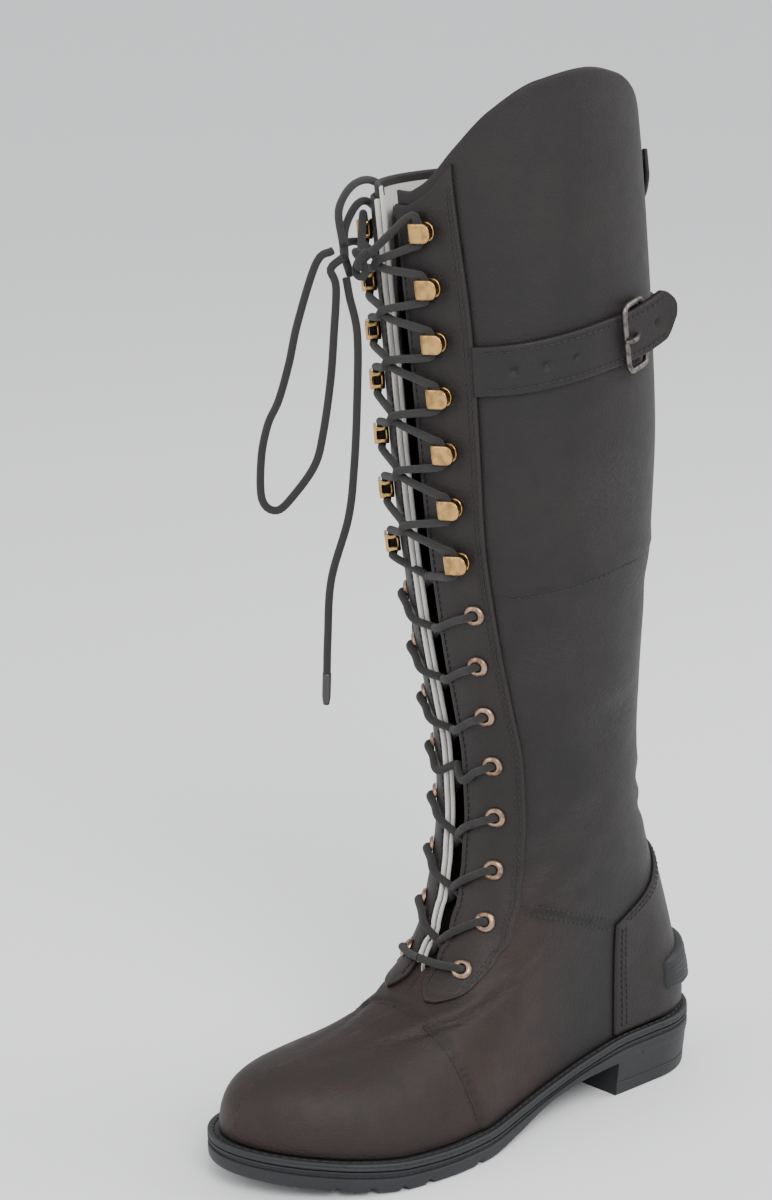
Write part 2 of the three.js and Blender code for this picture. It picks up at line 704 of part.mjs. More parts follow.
/** Half the width of the opening on a level. */
const openHalf = (level) => mix(THROAT_GAP, COLLAR_GAP, openShare(level)) / 2;

/** Cuts the opening out of the front, down to the throat. */
function throatCutter() {
  const start = THROAT_LEVEL + 0.03;
  const levels = [start, ...UPPER_LEVELS.filter((level) => level > start + 0.01)];
  const left = levels.map((level) => [openMiddle(level).y - openHalf(level), openMiddle(level).z]);
  const right = levels.map((level) => [openMiddle(level).y + openHalf(level), openMiddle(level).z]);
  const above = COLLAR_HEIGHT + COLLAR_ARCH;
  left.push([left[left.length - 1][0], above]);
  right.push([right[right.length - 1][0], above]);
  const foot = openMiddle(THROAT_LEVEL);
  return backPrism([[foot.y, foot.z], ...right, ...left.reverse()], -2 * SOLE_LENGTH, ankleMiddle);
}

/** Grooves between the lugs, across the underside of the forepart and the heel. */
function grooves() {
  return LUG_ROWS.map((row) => {
    const x = soleX(row.at);
    const foot = liftShare(row.at) * TOE_SPRING - LUG_DEPTH;
    return sidePrism(
      [
        [x - LUG_GROOVE / 2, foot],
        [x + LUG_GROOVE / 2, foot],
        [x + LUG_GROOVE / 2, foot + 2 * LUG_DEPTH],
        [x - LUG_GROOVE / 2, foot + 2 * LUG_DEPTH],
      ],
      -BALL_WIDTH,
      BALL_WIDTH,
    );
  }).reduce((joined, groove) => joined.add(groove));
}

/** Outsole with its heel, one moulded piece. */
function outsole() {
  const top = (x) => weltTop(x) - WELT_THICKNESS - GAP;
  const plate = stack(
    SIDE_ROWS.map((row) => soleRing(row.inset, (x) => mix(soleUnder(x), top(x), row.lift))),
  );
  const seat = SEAT_HEIGHT - WELT_THICKNESS - WAIST_THICKNESS / 2;
  const block = stack([
    soleRing(HEEL_RAKE, () => 0),
    soleRing(HEEL_RAKE * 0.7, () => seat * 0.1),
    soleRing(0.4, () => seat),
  ]);
  const breast = -HEEL_LENGTH / 2;
  const behind = sidePrism(
    [
      [breast, -5],
      [breast + 60 + HEEL_LENGTH, -5],
      [breast + 60 + HEEL_LENGTH, SEAT_HEIGHT],
      [breast - 3, SEAT_HEIGHT],
      [breast + 1, SEAT_HEIGHT * 0.4],
    ],
    -BALL_WIDTH,
    BALL_WIDTH,
  );
  return plate.add(block.intersect(behind)).subtract(grooves());
}

add("outsole", outsole(), RUBBER);

const weltFoot = (x) => weltTop(x) - WELT_THICKNESS;
const welt = stack([soleRing(0.3, weltFoot), soleRing(0, (x) => weltFoot(x) + 1), soleRing(0.4, weltTop)]);
const weltHole = stack([
  soleRing(WELT_BAND, (x) => weltFoot(x) - 3),
  soleRing(WELT_BAND, (x) => weltTop(x) + 3),
]);
add("welt", welt.subtract(weltHole), RUBBER);

const insoleInset = WELT_MARGIN + WALL + 1;
const insole = stack([
  soleRing(insoleInset, (x) => weltTop(x) + GAP),
  soleRing(insoleInset, (x) => weltTop(x) + GAP + INSOLE_THICKNESS),
]);
add("insole", insole, FELT);

/** Side view of what lies ahead of the seam between vamp and quarters, where the wall is thinner. */
function vampRegion() {
  const seam = VAMP_ROWS.map((row) => [
    mix(ankleFront, upperToe, row.ahead),
    row.rise * ANKLE_HEIGHT,
  ]);
  const ahead = upperToe - SOLE_LENGTH;
  return sidePrism([[ahead, 0], ...seam, [ahead, ANKLE_HEIGHT]], -BALL_WIDTH, BALL_WIDTH);
}

/** The upper: one wall, open at the collar, down the front and underneath. */
function upperBody() {
  const form = skin(0).subtract(vampRegion()).add(skin(-QUARTER_STEP));
  return form.subtract(skin(-WALL, 4)).subtract(throatCutter());
}
add("upper", upperBody(), LEATHER);


/** A closed sheet: point(row, column, depth) gives its outer face at depth 0. */
function sheet(rows, columns, point, thickness) {
  const points = [];
  const triangles = [];
  const wide = columns + 1;
  [0, thickness].forEach((depth) => {
    for (let r = 0; r <= rows; r += 1) {
      for (let c = 0; c <= columns; c += 1) points.push(point(r, c, depth));
    }
  });
  const inner = (rows + 1) * wide;
  const quad = (a, b, c, d) => triangles.push([a, b, c], [a, c, d]);
  for (let r = 0; r < rows; r += 1) {
    for (let c = 0; c < columns; c += 1) {
      const a = r * wide + c;
      quad(a, a + wide, a + wide + 1, a + 1);
      quad(inner + a, inner + a + 1, inner + a + wide + 1, inner + a + wide);
    }
    const left = r * wide;
    const right = left + columns;
    quad(left, inner + left, inner + left + wide, left + wide);
    quad(right, right + wide, inner + right + wide, inner + right);
  }
  for (let c = 0; c < columns; c += 1) {
    const top = rows * wide + c;
    quad(c, c + 1, inner + c + 1, inner + c);
    quad(top, inner + top, inner + top + 1, top + 1);
  }
  const solid = solidFrom(points, triangles);
  return solid.volume() < 0 ? solidFrom(points, triangles.map(([a, b, c]) => [a, c, b])) : solid;
}

/** The tongue: a sheet that follows the wall at its sides and falls back in the opening. */
function tongue() {
  const point = (row, column, depth) => {
    const share = row / TONGUE_ROWS;
    const level = mix(TONGUE_FOOT, TONGUE_TOP, share ** TONGUE_CROWD);
    const across = (2 * column) / TONGUE_COLUMNS - 1;
    const open = ease(clamp((level - TONGUE_FOOT) / TONGUE_FLARE, 0, 1));
    const reach = mix(TONGUE_FOOT_TURN, TONGUE_TURN, open);
    const turn = degrees(-THROAT_TURN * openShare(level) - across * reach);
    const sink = TONGUE_SINK * open * Math.cos((across * Math.PI) / 2) ** 2;
    return skinPoint(level, turn, -(WALL + TONGUE_CLEAR + sink + depth)).toArray();
  };
  return sheet(TONGUE_ROWS, TONGUE_COLUMNS, point, TONGUE_THICKNESS);
}

add("tongue", tongue(), WAXED_LEATHER);

/** The turn at a distance round from the middle of the opening, outwards where it is positive. */
function turnAcross(level, across) {
  const way = Math.sign(across) || 1;
  let turn = -degrees(THROAT_TURN) * openShare(level);
  let last = bodyPoint(level, turn);
  let left = Math.abs(across);
  while (left > 0) {
    const next = bodyPoint(level, turn + way * TURN_STEP);
    const step = next.distanceTo(last);
    const part = Math.min(1, left / step);
    turn += way * TURN_STEP * part;
    left -= step;
    last = next;
  }
  return turn;
}

/** A point beside the opening: across from its middle, and raised above the upper. */
const spot = (level, across, raise) => skinPoint(level, turnAcross(level, across), raise);

/** The level a distance further up along the opening. */
function levelUp(level, distance) {
  const step = 0.002;
  const rate = openMiddle(level + step).distanceTo(openMiddle(level - step)) / (2 * step);
  return level + distance / rate;
}

const fittingShare = curve(FITTING_ROWS, "level", "set");
const eyeletInset = (level) => FITTING_INSET * fittingShare(level);
const hookInset = (level) => eyeletInset(level) - HOOK_SET;

/** Levels of a row of fittings, a pitch apart along their line beside the opening. */
function pitched(start, count, pitch) {
  const levels = [start];
  const place = (level) => spot(level, openHalf(level) + eyeletInset(level), 0);
  while (levels.length < count) {
    const from = levels[levels.length - 1];
    const origin = place(from);
    let level = from;
    while (origin.distanceTo(place(level)) < pitch) level += 0.002;
    levels.push(level);
  }
  return levels;
}

const SIDES = { outer: 1, inner: -1 };

/** A seat beside the opening: away from it, up along it and outwards. */
function seatAt(level, side, inset, raise) {
  const turn = turnAcross(level, SIDES[side] * (openHalf(level) + inset));
  const normal = bodyNormal(level, turn);
  const along = openMiddle(level + 0.004).sub(openMiddle(level - 0.004));
  const up = along.addScaledVector(normal, -along.dot(normal)).normalize();
  const away = new THREE.Vector3().crossVectors(up, normal).multiplyScalar(SIDES[side]);
  return { origin: skinPoint(level, turn, raise), away, up, normal, side };
}

/** A point of a seat. */
const onSeat = (seat, x, y, z) =>
  seat.origin.clone().addScaledVector(seat.away, x).addScaledVector(seat.up, y).addScaledVector(seat.normal, z);

/** A local solid on a seat: X away from the opening, Y up along it, Z outwards. */
function seated(solid, seat) {
  const way = SIDES[seat.side];
  return placed(solid, seat.origin, seat.away.clone().multiplyScalar(way), seat.up, seat.normal, way);
}

/** A local solid moved to an origin with its axes along three directions, mirrored in X if side is -1. */
function placed(solid, origin, x, y, z, side = 1) {
  const geometry = solid.clone();
  if (side < 0) {
    geometry.scale(-1, 1, 1);
    const index = geometry.index.array;
    for (let i = 0; i < index.length; i += 3) [index[i + 1], index[i + 2]] = [index[i + 2], index[i + 1]];
  }
  const basis = new THREE.Matrix4().makeBasis(x, y, z).setPosition(origin);
  return geometry.applyMatrix4(basis);
}

/** What no overlay reaches into: the upper's form, grown by the gap. */
const bedding = skin(GAP / 3);

const facingNear = curve(FACING_ROWS, "level", "near");
const facingFar = curve(FACING_ROWS, "level", "far");

/** Facing beside the opening, from its seam with the collar down to its tip on the vamp. */
function facing(side) {
  const levels = FACING_LEVELS;
  const point = (row, column, depth) => {
    const level = levels[row];
    const share = mix(facingNear(level), facingFar(level), column / FACING_COLUMNS);
    const across = openHalf(level) + share * FACING_WIDTH;
    return spot(level, SIDES[side] * across, SKIN_GAP + FACING_THICKNESS - depth).toArray();
  };
  return sheet(levels.length - 1, FACING_COLUMNS, point, FACING_THICKNESS).subtract(bedding);
}

/** A smooth path whose steps fall on its own points. */
class LacePath extends THREE.CatmullRomCurve3 {
  getPointAt(share, target) {
    return this.getPoint(share, target);
  }

  getTangentAt(share, target) {
    return this.getTangent(share, target);
  }
}

/** A closed tube along points, with steps from each point to the next. */
function tube(points, radius, sides, steps = 1) {
  const path = new LacePath(points, false, "centripetal");
  const ring = Array.from({ length: sides }, (_, i) => {
    const angle = (2 * Math.PI * (i + 0.5)) / sides;
    return [radius * Math.cos(angle), radius * Math.sin(angle)];
  });
  const count = steps * (points.length - 1);
  return new THREE.ExtrudeGeometry(shapeOf(ring), {
    steps: count,
    bevelEnabled: false,
    extrudePath: path,
  });
}

const eyeletLevels = pitched(EYELET_START, EYELET_COUNT, EYELET_PITCH);
const lastEyelet = eyeletLevels[EYELET_COUNT - 1];
const hookLevels = pitched(lastEyelet, HOOK_COUNT + 1, HOOK_PITCH).slice(1);
const faceRaise = SKIN_GAP + FACING_THICKNESS + GAP;

const eyeletProfile = [
  [EYELET_HOLE, 0],
  [EYELET_RADIUS, 0],
  [(EYELET_RADIUS + EYELET_HOLE) / 2, EYELET_HEIGHT],
  [EYELET_HOLE, 0],
].map(([r, z]) => new THREE.Vector2(r, z));

/** One eyelet, its axis along Z. */
function eyelet() {
  const lathe = new THREE.LatheGeometry(eyeletProfile, EYELET_SIDES);
  lathe.rotateX(Math.PI / 2);
  return geometryOf(solidOf(lathe));
}

/** One lace hook: a base, a neck on the side of the opening with a window, and a top plate. */
function hook() {
  const reach = HOOK_LENGTH / 2;
  const high = HOOK_BASE + HOOK_MOUTH + HOOK_PLATE;
  const profile = [
    [-reach, HOOK_BASE * 0.5],
    [-reach + HOOK_BASE * 0.5, 0],
    [reach * 0.7, 0],
    [reach * 0.7, HOOK_BASE],
    [-reach + HOOK_PLATE, HOOK_BASE],
    [-reach + HOOK_PLATE, high - HOOK_PLATE],
    [reach, high - HOOK_PLATE],
    [reach, high],
    [-reach + HOOK_PLATE, high],
    [-reach, high - HOOK_PLATE],
  ];
  const geometry = new THREE.ExtrudeGeometry(shapeOf(profile), { depth: HOOK_WIDTH, bevelEnabled: false });
  geometry.rotateX(Math.PI / 2);
  geometry.translate(0, HOOK_WIDTH / 2, 0);
  const window = new THREE.BoxGeometry(HOOK_PLATE * 4, HOOK_WIDTH * 0.5, HOOK_MOUTH * 0.7);
  window.translate(-reach, 0, HOOK_BASE + HOOK_MOUTH / 2);
  return geometryOf(solidOf(geometry).subtract(solidOf(window)));
}

["outer", "inner"].forEach((side) => {
  add(`facing_${side}`, facing(side), WAXED_LEATHER);
  eyeletLevels.forEach((level, i) => {
    add(`eyelet_${side}_${i + 1}`, seated(eyelet(), seatAt(level, side, eyeletInset(level), faceRaise + EYELET_LIFT)), COPPER);
  });
  hookLevels.forEach((level, i) => {
    add(`hook_${side}_${i + 1}`, seated(hook(), seatAt(level, side, hookInset(level), faceRaise)), BRASS);
  });
});

/** The level at a height on the line of a turn. */
function levelAtHeight(height, turn) {
  let low = 0;
  let high = 2;
  for (let i = 0; i < 30; i += 1) {
    const middle = (low + high) / 2;
    if (bodyPoint(middle, turn).z < height) low = middle;
    else high = middle;
  }
  return (low + high) / 2;
}

/** The turn on the outer side where a level reaches x. */
function turnAtX(level, x) {
  const share = clamp((x - frontAt(level)) / (backAt(level) - frontAt(level)), 0, 1);
  return Math.acos(1 - 2 * share);
}

/** Heel counter, round the back of the foot over the upper. */
function counter() {
  const half = COUNTER_COLUMNS / 2;
  const peakAt = curve(COUNTER_ROWS, "round", "peak");
  const point = (row, column, depth) => {
    const round = (column - half) / half;
    const top = levelAtHeight(COUNTER_PEAK * peakAt(Math.abs(round)), turnAtX(COUNTER_TURN_LEVEL, COUNTER_FRONT));
    const level = COUNTER_LEVELS[row] * top;
    const x = mix(backAt(level), COUNTER_FRONT, 1 - Math.cos((Math.abs(round) * Math.PI) / 2));
    const turn = turnAtX(level, x);
    const raise = SKIN_GAP + COUNTER_THICKNESS - depth;
    return skinPoint(level, round < 0 ? turn : 2 * Math.PI - turn, raise).toArray();
  };
  return sheet(COUNTER_LEVELS.length - 1, COUNTER_COLUMNS, point, COUNTER_THICKNESS).subtract(bedding);
}
add("counter", counter(), LEATHER);

/** Spur rest, a thick pad across the back of the counter. */
function spurRest() {
  const half = SPUR_COLUMNS / 2;
  const turnStep = (2 * Math.PI) / COLUMNS;
  const base = SKIN_GAP + COUNTER_THICKNESS + 3 * GAP;
  const point = (row, column, depth) => {
    const round = Math.abs(column - half) / half;
    const turn = Math.PI + (column - half) * turnStep;
    const edge = row === 0 || row === 3 ? 1 : 0;
    const tall = (SPUR_HEIGHT / 2) * Math.sqrt(1 - 0.6 * round * round);
    const rise = [-1, -0.6, 0.6, 1][row] * tall;
    const level = levelAtHeight(SPUR_LEVEL + rise, turn);
    const full = SPUR_THICKNESS * (1 - 0.55 * edge) * (1 - 0.6 * round * round);
    return skinPoint(level, turn, depth > 0 ? base : base + full).toArray();
  };
  return sheet(3, SPUR_COLUMNS, point, SPUR_THICKNESS);
}
add("spur_rest", spurRest(), RUBBER);

/** Closed zip down the middle of the back. */
function backZip() {
  const top = levelAtHeight(COLLAR_HEIGHT - ZIP_TOP_SET, Math.PI);
  const foot = levelAtHeight(COUNTER_PEAK + GAP + 1, Math.PI);
  const levels = [foot, ...UPPER_LEVELS.filter((level) => level > foot + 0.03 && level < top - 0.03), top];
  const point = (row, column, depth) => {
    const level = levels[row];
    const around = Math.asin(((column - 1) * ZIP_WIDTH) / widthAt(level));
    return skinPoint(level, Math.PI + around, SKIN_GAP + ZIP_THICKNESS - depth).toArray();
  };
  return sheet(levels.length - 1, 2, point, ZIP_THICKNESS);
}
add("back_zip", backZip(), TAPE);

/** Tab that closes over the top of the zip, with its press stud's cap. */
const tabBase = SKIN_GAP + ZIP_THICKNESS + GAP;
function snapTab() {
  const columns = 6;
  const point = (row, column, depth) => {
    const across = column / columns;
    const turn = Math.PI + degrees(mix(TAB_TURN_INNER, -TAB_TURN_OUTER, across));
    const round = across > 0.7 ? Math.sqrt(1 - ((across - 0.7) / 0.34) ** 2) : 1;
    const rise = ((row / 2) * 2 - 1) * (TAB_HEIGHT / 2) * round;
    const level = levelAtHeight(TAB_LEVEL + rise, Math.PI);
    return skinPoint(level, turn, tabBase + TAB_THICKNESS - depth).toArray();
  };
  return sheet(2, columns, point, TAB_THICKNESS);
}
add("snap_tab", snapTab(), WAXED_LEATHER);

const studTurn = Math.PI - degrees(TAB_TURN_OUTER * 0.55);
const studLevel = levelAtHeight(TAB_LEVEL, Math.PI);
const studAxis = bodyNormal(studLevel, studTurn);
const studUp = new THREE.Vector3(0, 0, 1).addScaledVector(studAxis, -studAxis.z).normalize();
const stud = geometryOf(
  solidOf(
    new THREE.LatheGeometry(
      [
        [0, 0],
        [STUD_RADIUS, 0],
        [STUD_RADIUS, STUD_HEIGHT * 0.5],
        [STUD_RADIUS * 0.6, STUD_HEIGHT],
        [0, STUD_HEIGHT],
      ].map(([r, z]) => new THREE.Vector2(r, z)),
      10,
    ).rotateX(Math.PI / 2),
  ),
);
const studSeat = skinPoint(studLevel, studTurn, tabBase + TAB_THICKNESS + GAP);
add(
  "snap_cap",
  placed(stud, studSeat, new THREE.Vector3().crossVectors(studUp, studAxis), studUp, studAxis),
  DARK_METAL,
);

// The strap lies round the outer side, passes under the buckle's front bar and leaves the shaft beyond it.
const strapTurnAt = (side) => degrees(side);
const buckleTurn = strapTurnAt(BUCKLE_TURN);
const strapLevelAt = (turn, rise) => {
  const share = clamp(turn / buckleTurn, 0, 1);
  return levelAtHeight(STRAP_HEIGHT + STRAP_RISE * ease(share) * share + rise, turn);
};
const buckleSeat = skinPoint(strapLevelAt(buckleTurn, 0), buckleTurn, 0);
const buckleOut = bodyNormal(strapLevelAt(buckleTurn, 0), buckleTurn);
const strapAhead = new THREE.Vector3(-buckleOut.y, buckleOut.x, STRAP_CLIMB).normalize();
if (strapAhead.x < 0) strapAhead.set(-strapAhead.x, -strapAhead.y, strapAhead.z);
const strapUp = new THREE.Vector3().crossVectors(buckleOut, strapAhead).normalize();
if (strapUp.z < 0) strapUp.negate();

/** A point off the buckle's seat: along the strap, up across it and out from the shaft. */
const offSeat = (along, up, out) =>
  buckleSeat.clone().addScaledVector(strapAhead, along).addScaledVector(strapUp, up).addScaledVector(buckleOut, out);

function strap() {
  const onShaft = STRAP_COLUMNS;
  const free = STRAP_FREE_COLUMNS;
  const middleLevel = levelAtHeight(STRAP_HEIGHT, 0.5);
  const startTurn = turnAcross(middleLevel, openHalf(middleLevel) + FACING_WIDTH * facingFar(middleLevel) + STRAP_CLEAR);
  const point = (row, column, depth) => {
    const up = ((row / 2) * 2 - 1) * (STRAP_WIDTH / 2);
    const out = SKIN_GAP + STRAP_THICKNESS - depth;
    if (column <= onShaft) {
      const turn = mix(startTurn, buckleTurn, column / onShaft);
      return skinPoint(strapLevelAt(turn, up), turn, out).toArray();
    }
    const share = (column - onShaft) / free;
    const end = row === 1 ? 1 : 1 - STRAP_POINT;
    const along = STRAP_FREE * share * (column === onShaft + free ? end : 1);
    const narrow = column === onShaft + free ? 0.75 : 1;
    const flare = STRAP_FLARE * share ** 1.5;
    return offSeat(along, up * narrow + STRAP_FREE_RISE * share * share, out + flare).toArray();
  };
  const slot = new THREE.BoxGeometry(PRONG_SLOT, 6 * STRAP_THICKNESS, PRONG_WIDTH + 2 * GAP);
  const seat = offSeat(PRONG_SLOT_SET, 0, SKIN_GAP + STRAP_THICKNESS / 2);
  const hole = placed(slot, seat, strapAhead, buckleOut, strapUp.clone().negate());
  return sheet(2, onShaft + free, point, STRAP_THICKNESS).subtract(turnedOut(hole));
}

/** A solid from a geometry, whichever way its faces point. */
function turnedOut(geometry) {
  const solid = solidOf(geometry);
  if (solid.volume() > 0) return solid;
  const flipped = geometry.clone();
  const index = flipped.index.array;
  for (let i = 0; i < index.length; i += 3) [index[i + 1], index[i + 2]] = [index[i + 2], index[i + 1]];
  return solidOf(flipped);
}
add("strap", strap(), WAXED_LEATHER);

// The frame tips in towards the shaft from its front bar, over the strap, to its rear bar, under it.
const frontOut = SKIN_GAP + STRAP_THICKNESS + GAP + BUCKLE_TILT_CLEAR + BUCKLE_DEPTH / 2;
const rearOut = -BUCKLE_REAR_DROP;
const frameAhead = strapAhead.clone().multiplyScalar(BUCKLE_LENGTH).addScaledVector(buckleOut, rearOut - frontOut).normalize();
const frameOut = new THREE.Vector3().crossVectors(frameAhead, strapUp).normalize();
if (frameOut.dot(buckleOut) < 0) frameOut.negate();
const rounded = (halfLong, halfTall, corner) => [
  [-halfLong, -halfTall + corner],
  [-halfLong + corner, -halfTall],
  [halfLong - corner, -halfTall],
  [halfLong, -halfTall + corner],
  [halfLong, halfTall - corner],
  [halfLong - corner, halfTall],
  [-halfLong + corner, halfTall],
  [-halfLong, halfTall - corner],
];
const frameHalfLong = (BUCKLE_LENGTH + BUCKLE_WIRE) / 2;
const frameHalfTall = STRAP_WIDTH / 2 + BUCKLE_SIDE_CLEAR + BUCKLE_WIRE;
const frameShape = shapeOf(rounded(frameHalfLong, frameHalfTall, BUCKLE_WIRE * 1.2));
frameShape.holes.push(
  shapeOf(rounded(frameHalfLong - BUCKLE_WIRE, frameHalfTall - BUCKLE_WIRE, BUCKLE_WIRE * 0.5)),
);
const frameSolid = new THREE.ExtrudeGeometry(frameShape, { depth: BUCKLE_DEPTH, bevelEnabled: false });
frameSolid.translate(0, 0, -BUCKLE_DEPTH / 2);
const frameMiddle = offSeat(0, 0, frontOut).lerp(offSeat(BUCKLE_LENGTH, 0, rearOut), 0.5);
const frameX = frameAhead;
const frameZ = new THREE.Vector3().crossVectors(frameX, strapUp);
add(
  "buckle_frame",
  geometryOf(turnedOut(indexed(placed(frameSolid, frameMiddle, frameX, strapUp, frameZ)))),
  DARK_METAL,
);

/** The same geometry with shared vertices. */
function indexed(geometry) {
  const bare = geometry.clone();
  bare.deleteAttribute("normal");
  bare.deleteAttribute("uv");
  return mergeVertices(bare, 1e-4);
}

// The prong rises from the rear bar through the strap's slot and lies over the front bar.
const over = frontOut + BUCKLE_DEPTH / 2 + 2 * GAP;
const prongOutline = [
  [-BUCKLE_WIRE * 0.8, over],
  [-BUCKLE_WIRE * 0.8, over + PRONG_WIDTH * 0.6],
  [BUCKLE_WIRE, over + PRONG_WIDTH],
  [PRONG_SLOT_SET + PRONG_SLOT * 0.3, SKIN_GAP + STRAP_THICKNESS],
  [PRONG_SLOT_SET + PRONG_SLOT * 0.3, 0],
  [PRONG_SLOT_SET - PRONG_SLOT * 0.1, 0],
  [PRONG_SLOT_SET - PRONG_SLOT * 0.1, SKIN_GAP + STRAP_THICKNESS],
  [BUCKLE_WIRE * 0.9, over],
];
const prong = new THREE.ExtrudeGeometry(shapeOf(prongOutline), { depth: PRONG_WIDTH, bevelEnabled: false });
prong.translate(0, 0, -PRONG_WIDTH / 2);
add(
  "buckle_prong",
  geometryOf(turnedOut(indexed(placed(prong, buckleSeat, strapAhead, buckleOut, strapUp)))),
  DARK_METAL,
);

/** The chape, from beside the zip to the buckle's rear bar. */
function chape() {
  const columns = 5;
  const zipSide = Math.asin((ZIP_WIDTH + 4 * GAP) / CALF_WIDTH);
  const start = buckleTurn + (BUCKLE_LENGTH + BUCKLE_WIRE) / (CALF_WIDTH / 2);
  const point = (row, column, depth) => {
    const turn = mix(start, Math.PI - zipSide, column / columns);
    const up = ((row / 1) * 2 - 1) * (STRAP_WIDTH / 2) * CHAPE_SHARE;
    const level = levelAtHeight(STRAP_HEIGHT + STRAP_RISE + CHAPE_RISE + up, turn);
    return skinPoint(level, turn, SKIN_GAP + CHAPE_THICKNESS - depth).toArray();
  };
  return sheet(1, columns, point, CHAPE_THICKNESS);
}
add("buckle_chape", chape(), WAXED_LEATHER);

const laceRadius = LACE_DIAMETER / 2;
const laceRaise = SKIN_GAP + FACING_THICKNESS + 3 * GAP + laceRadius;

/** Points of one lace strand, which changes sides at each row. */
function strand(first) {
  const points = [];
  const put = (level, across, raise) => points.push(spot(level, across, raise));
  const cross = (level, half, side, rise) =>
    LACE_CROSS_ROWS.forEach((row) => {
      const share = (row.over + 1) / 2;
      put(levelUp(level, rise * share), -side * row.over * half, laceRaise + LACE_SLACK * row.slack);
    });
  let side = first;
  eyeletLevels.forEach((level, i) => {
    const reach = openHalf(level) + eyeletInset(level) - EYELET_RADIUS - laceRadius - 2 * GAP;
    put(level, side * reach, laceRaise);
    cross(level, reach, side, i === EYELET_COUNT - 1 ? HOOK_PITCH : EYELET_PITCH);
    side = -side;
  });
  const neck = -HOOK_LENGTH / 2;
  const behind = neck + HOOK_PLATE + laceRadius + 3 * GAP;
  const beside = HOOK_WIDTH / 2 + laceRadius + 4 * GAP;
  const mouth = HOOK_BASE + HOOK_MOUTH / 2;
  hookLevels.forEach((level, i) => {
    const seat = seatAt(level, side > 0 ? "outer" : "inner", hookInset(level), faceRaise);
    points.push(
      onSeat(seat, neck - 2 * GAP, -beside, mouth),
      onSeat(seat, behind, -HOOK_WIDTH * 0.6, mouth),
      onSeat(seat, behind, HOOK_WIDTH * 0.6, mouth),
      onSeat(seat, neck - 2 * GAP, beside, mouth),
    );
    const half = openHalf(level);
    if (i < HOOK_COUNT - 1) cross(levelUp(level, beside), half, side, HOOK_PITCH - 2 * beside);
    side = -side;
  });
  return points;
}

/** Both strands and the bar across the lowest pair of eyelets, as one solid. */
function crossings() {
  const parts = [1, -1].map((first) => {
    const points = strand(first);
    const knotSide = spot(knotLevel, 0, knotRaise);
    const away = points[points.length - 1].clone().sub(knotSide).normalize();
    points.push(knotSide.clone().addScaledVector(away, KNOT_RADIUS + 5 * GAP));
    return turnedOut(indexed(tube(points, laceRadius, LACE_SIDES)));
  });
  const low = eyeletLevels[0];
  const reach = openHalf(low) + eyeletInset(low) - EYELET_RADIUS - laceRadius - 2 * GAP;
  const bar = [-1, 0, 1].map((side) => spot(low, side * reach, laceRaise + (side === 0 ? LACE_SLACK : 0)));
  return parts[0].add(parts[1]).add(turnedOut(indexed(tube(bar, laceRadius, LACE_SIDES, 2))));
}
const knotRaise = laceRaise + LACE_SLACK + laceRadius + KNOT_RADIUS + 2 * GAP;
const knotLevel = levelUp(hookLevels[HOOK_COUNT - 1], -KNOT_DROP);
add("lace_crossings", crossings(), CORD);

const knotMiddle = spot(knotLevel, 0, knotRaise);
const knot = new THREE.IcosahedronGeometry(KNOT_RADIUS, 1);
knot.scale(0.8, 1.1, 0.9);
knot.translate(knotMiddle.x, knotMiddle.y, knotMiddle.z);
add("lace_knot", geometryOf(turnedOut(indexed(knot))), CORD);

const fromKnot = (row) => new THREE.Vector3(-row.fore, row.side, row.rise).add(knotMiddle);

/** A free cord from the knot, along a table of points. */
function cord(rows) {
  return geometryOf(turnedOut(indexed(tube(rows.map(fromKnot), laceRadius, CORD_SIDES))));
}
add("lace_loop_outer", cord(LACE_LOOP_OUTER), CORD);
add("lace_loop_inner", cord(LACE_LOOP_INNER), CORD);
add("lace_end_outer", cord(LACE_END_OUTER), CORD);
add("lace_end_inner", cord(LACE_END_INNER), CORD);

/** The hard tip of a cord's end. */
function aglet(rows) {
  const end = fromKnot(rows[rows.length - 1]);
  const way = end.clone().sub(fromKnot(rows[rows.length - 2])).normalize();
  const points = [GAP, AGLET_LENGTH / 2, AGLET_LENGTH].map((along) => end.clone().addScaledVector(way, along));
  return geometryOf(turnedOut(indexed(tube(points, AGLET_RADIUS, CORD_SIDES))));
}
add("aglet_outer", aglet(LACE_END_OUTER), TAPE);
add("aglet_inner", aglet(LACE_END_INNER), TAPE);

export default group;
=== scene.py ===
"""Dresses the riding boot: leather upper, facings with eyelets and hooks, laces, strap, zip and sole."""

import logging
import math
from dataclasses import dataclass, field
from enum import Enum
from typing import Callable, Iterable, Optional, Sequence

import bmesh
import bpy
import numpy as np
from mathutils import Matrix, Vector

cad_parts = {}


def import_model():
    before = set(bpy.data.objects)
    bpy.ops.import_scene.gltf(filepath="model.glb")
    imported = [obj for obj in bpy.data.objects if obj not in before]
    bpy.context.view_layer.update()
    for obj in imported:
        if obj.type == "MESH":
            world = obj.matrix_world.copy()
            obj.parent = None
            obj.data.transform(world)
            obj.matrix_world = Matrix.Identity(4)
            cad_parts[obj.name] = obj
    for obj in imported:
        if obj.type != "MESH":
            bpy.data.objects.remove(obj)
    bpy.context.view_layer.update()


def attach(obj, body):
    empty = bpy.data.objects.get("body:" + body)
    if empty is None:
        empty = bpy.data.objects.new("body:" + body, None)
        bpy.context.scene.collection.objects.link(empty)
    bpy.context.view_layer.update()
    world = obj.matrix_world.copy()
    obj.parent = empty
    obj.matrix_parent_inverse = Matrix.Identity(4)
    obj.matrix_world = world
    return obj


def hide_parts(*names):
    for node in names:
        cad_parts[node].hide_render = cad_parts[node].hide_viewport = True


LOG = logging.getLogger("boot")
MM = 0.001
Points = np.ndarray


class Side(Enum):
    """Which side of the opening a piece lies on."""

    OUTER = 1
    INNER = -1


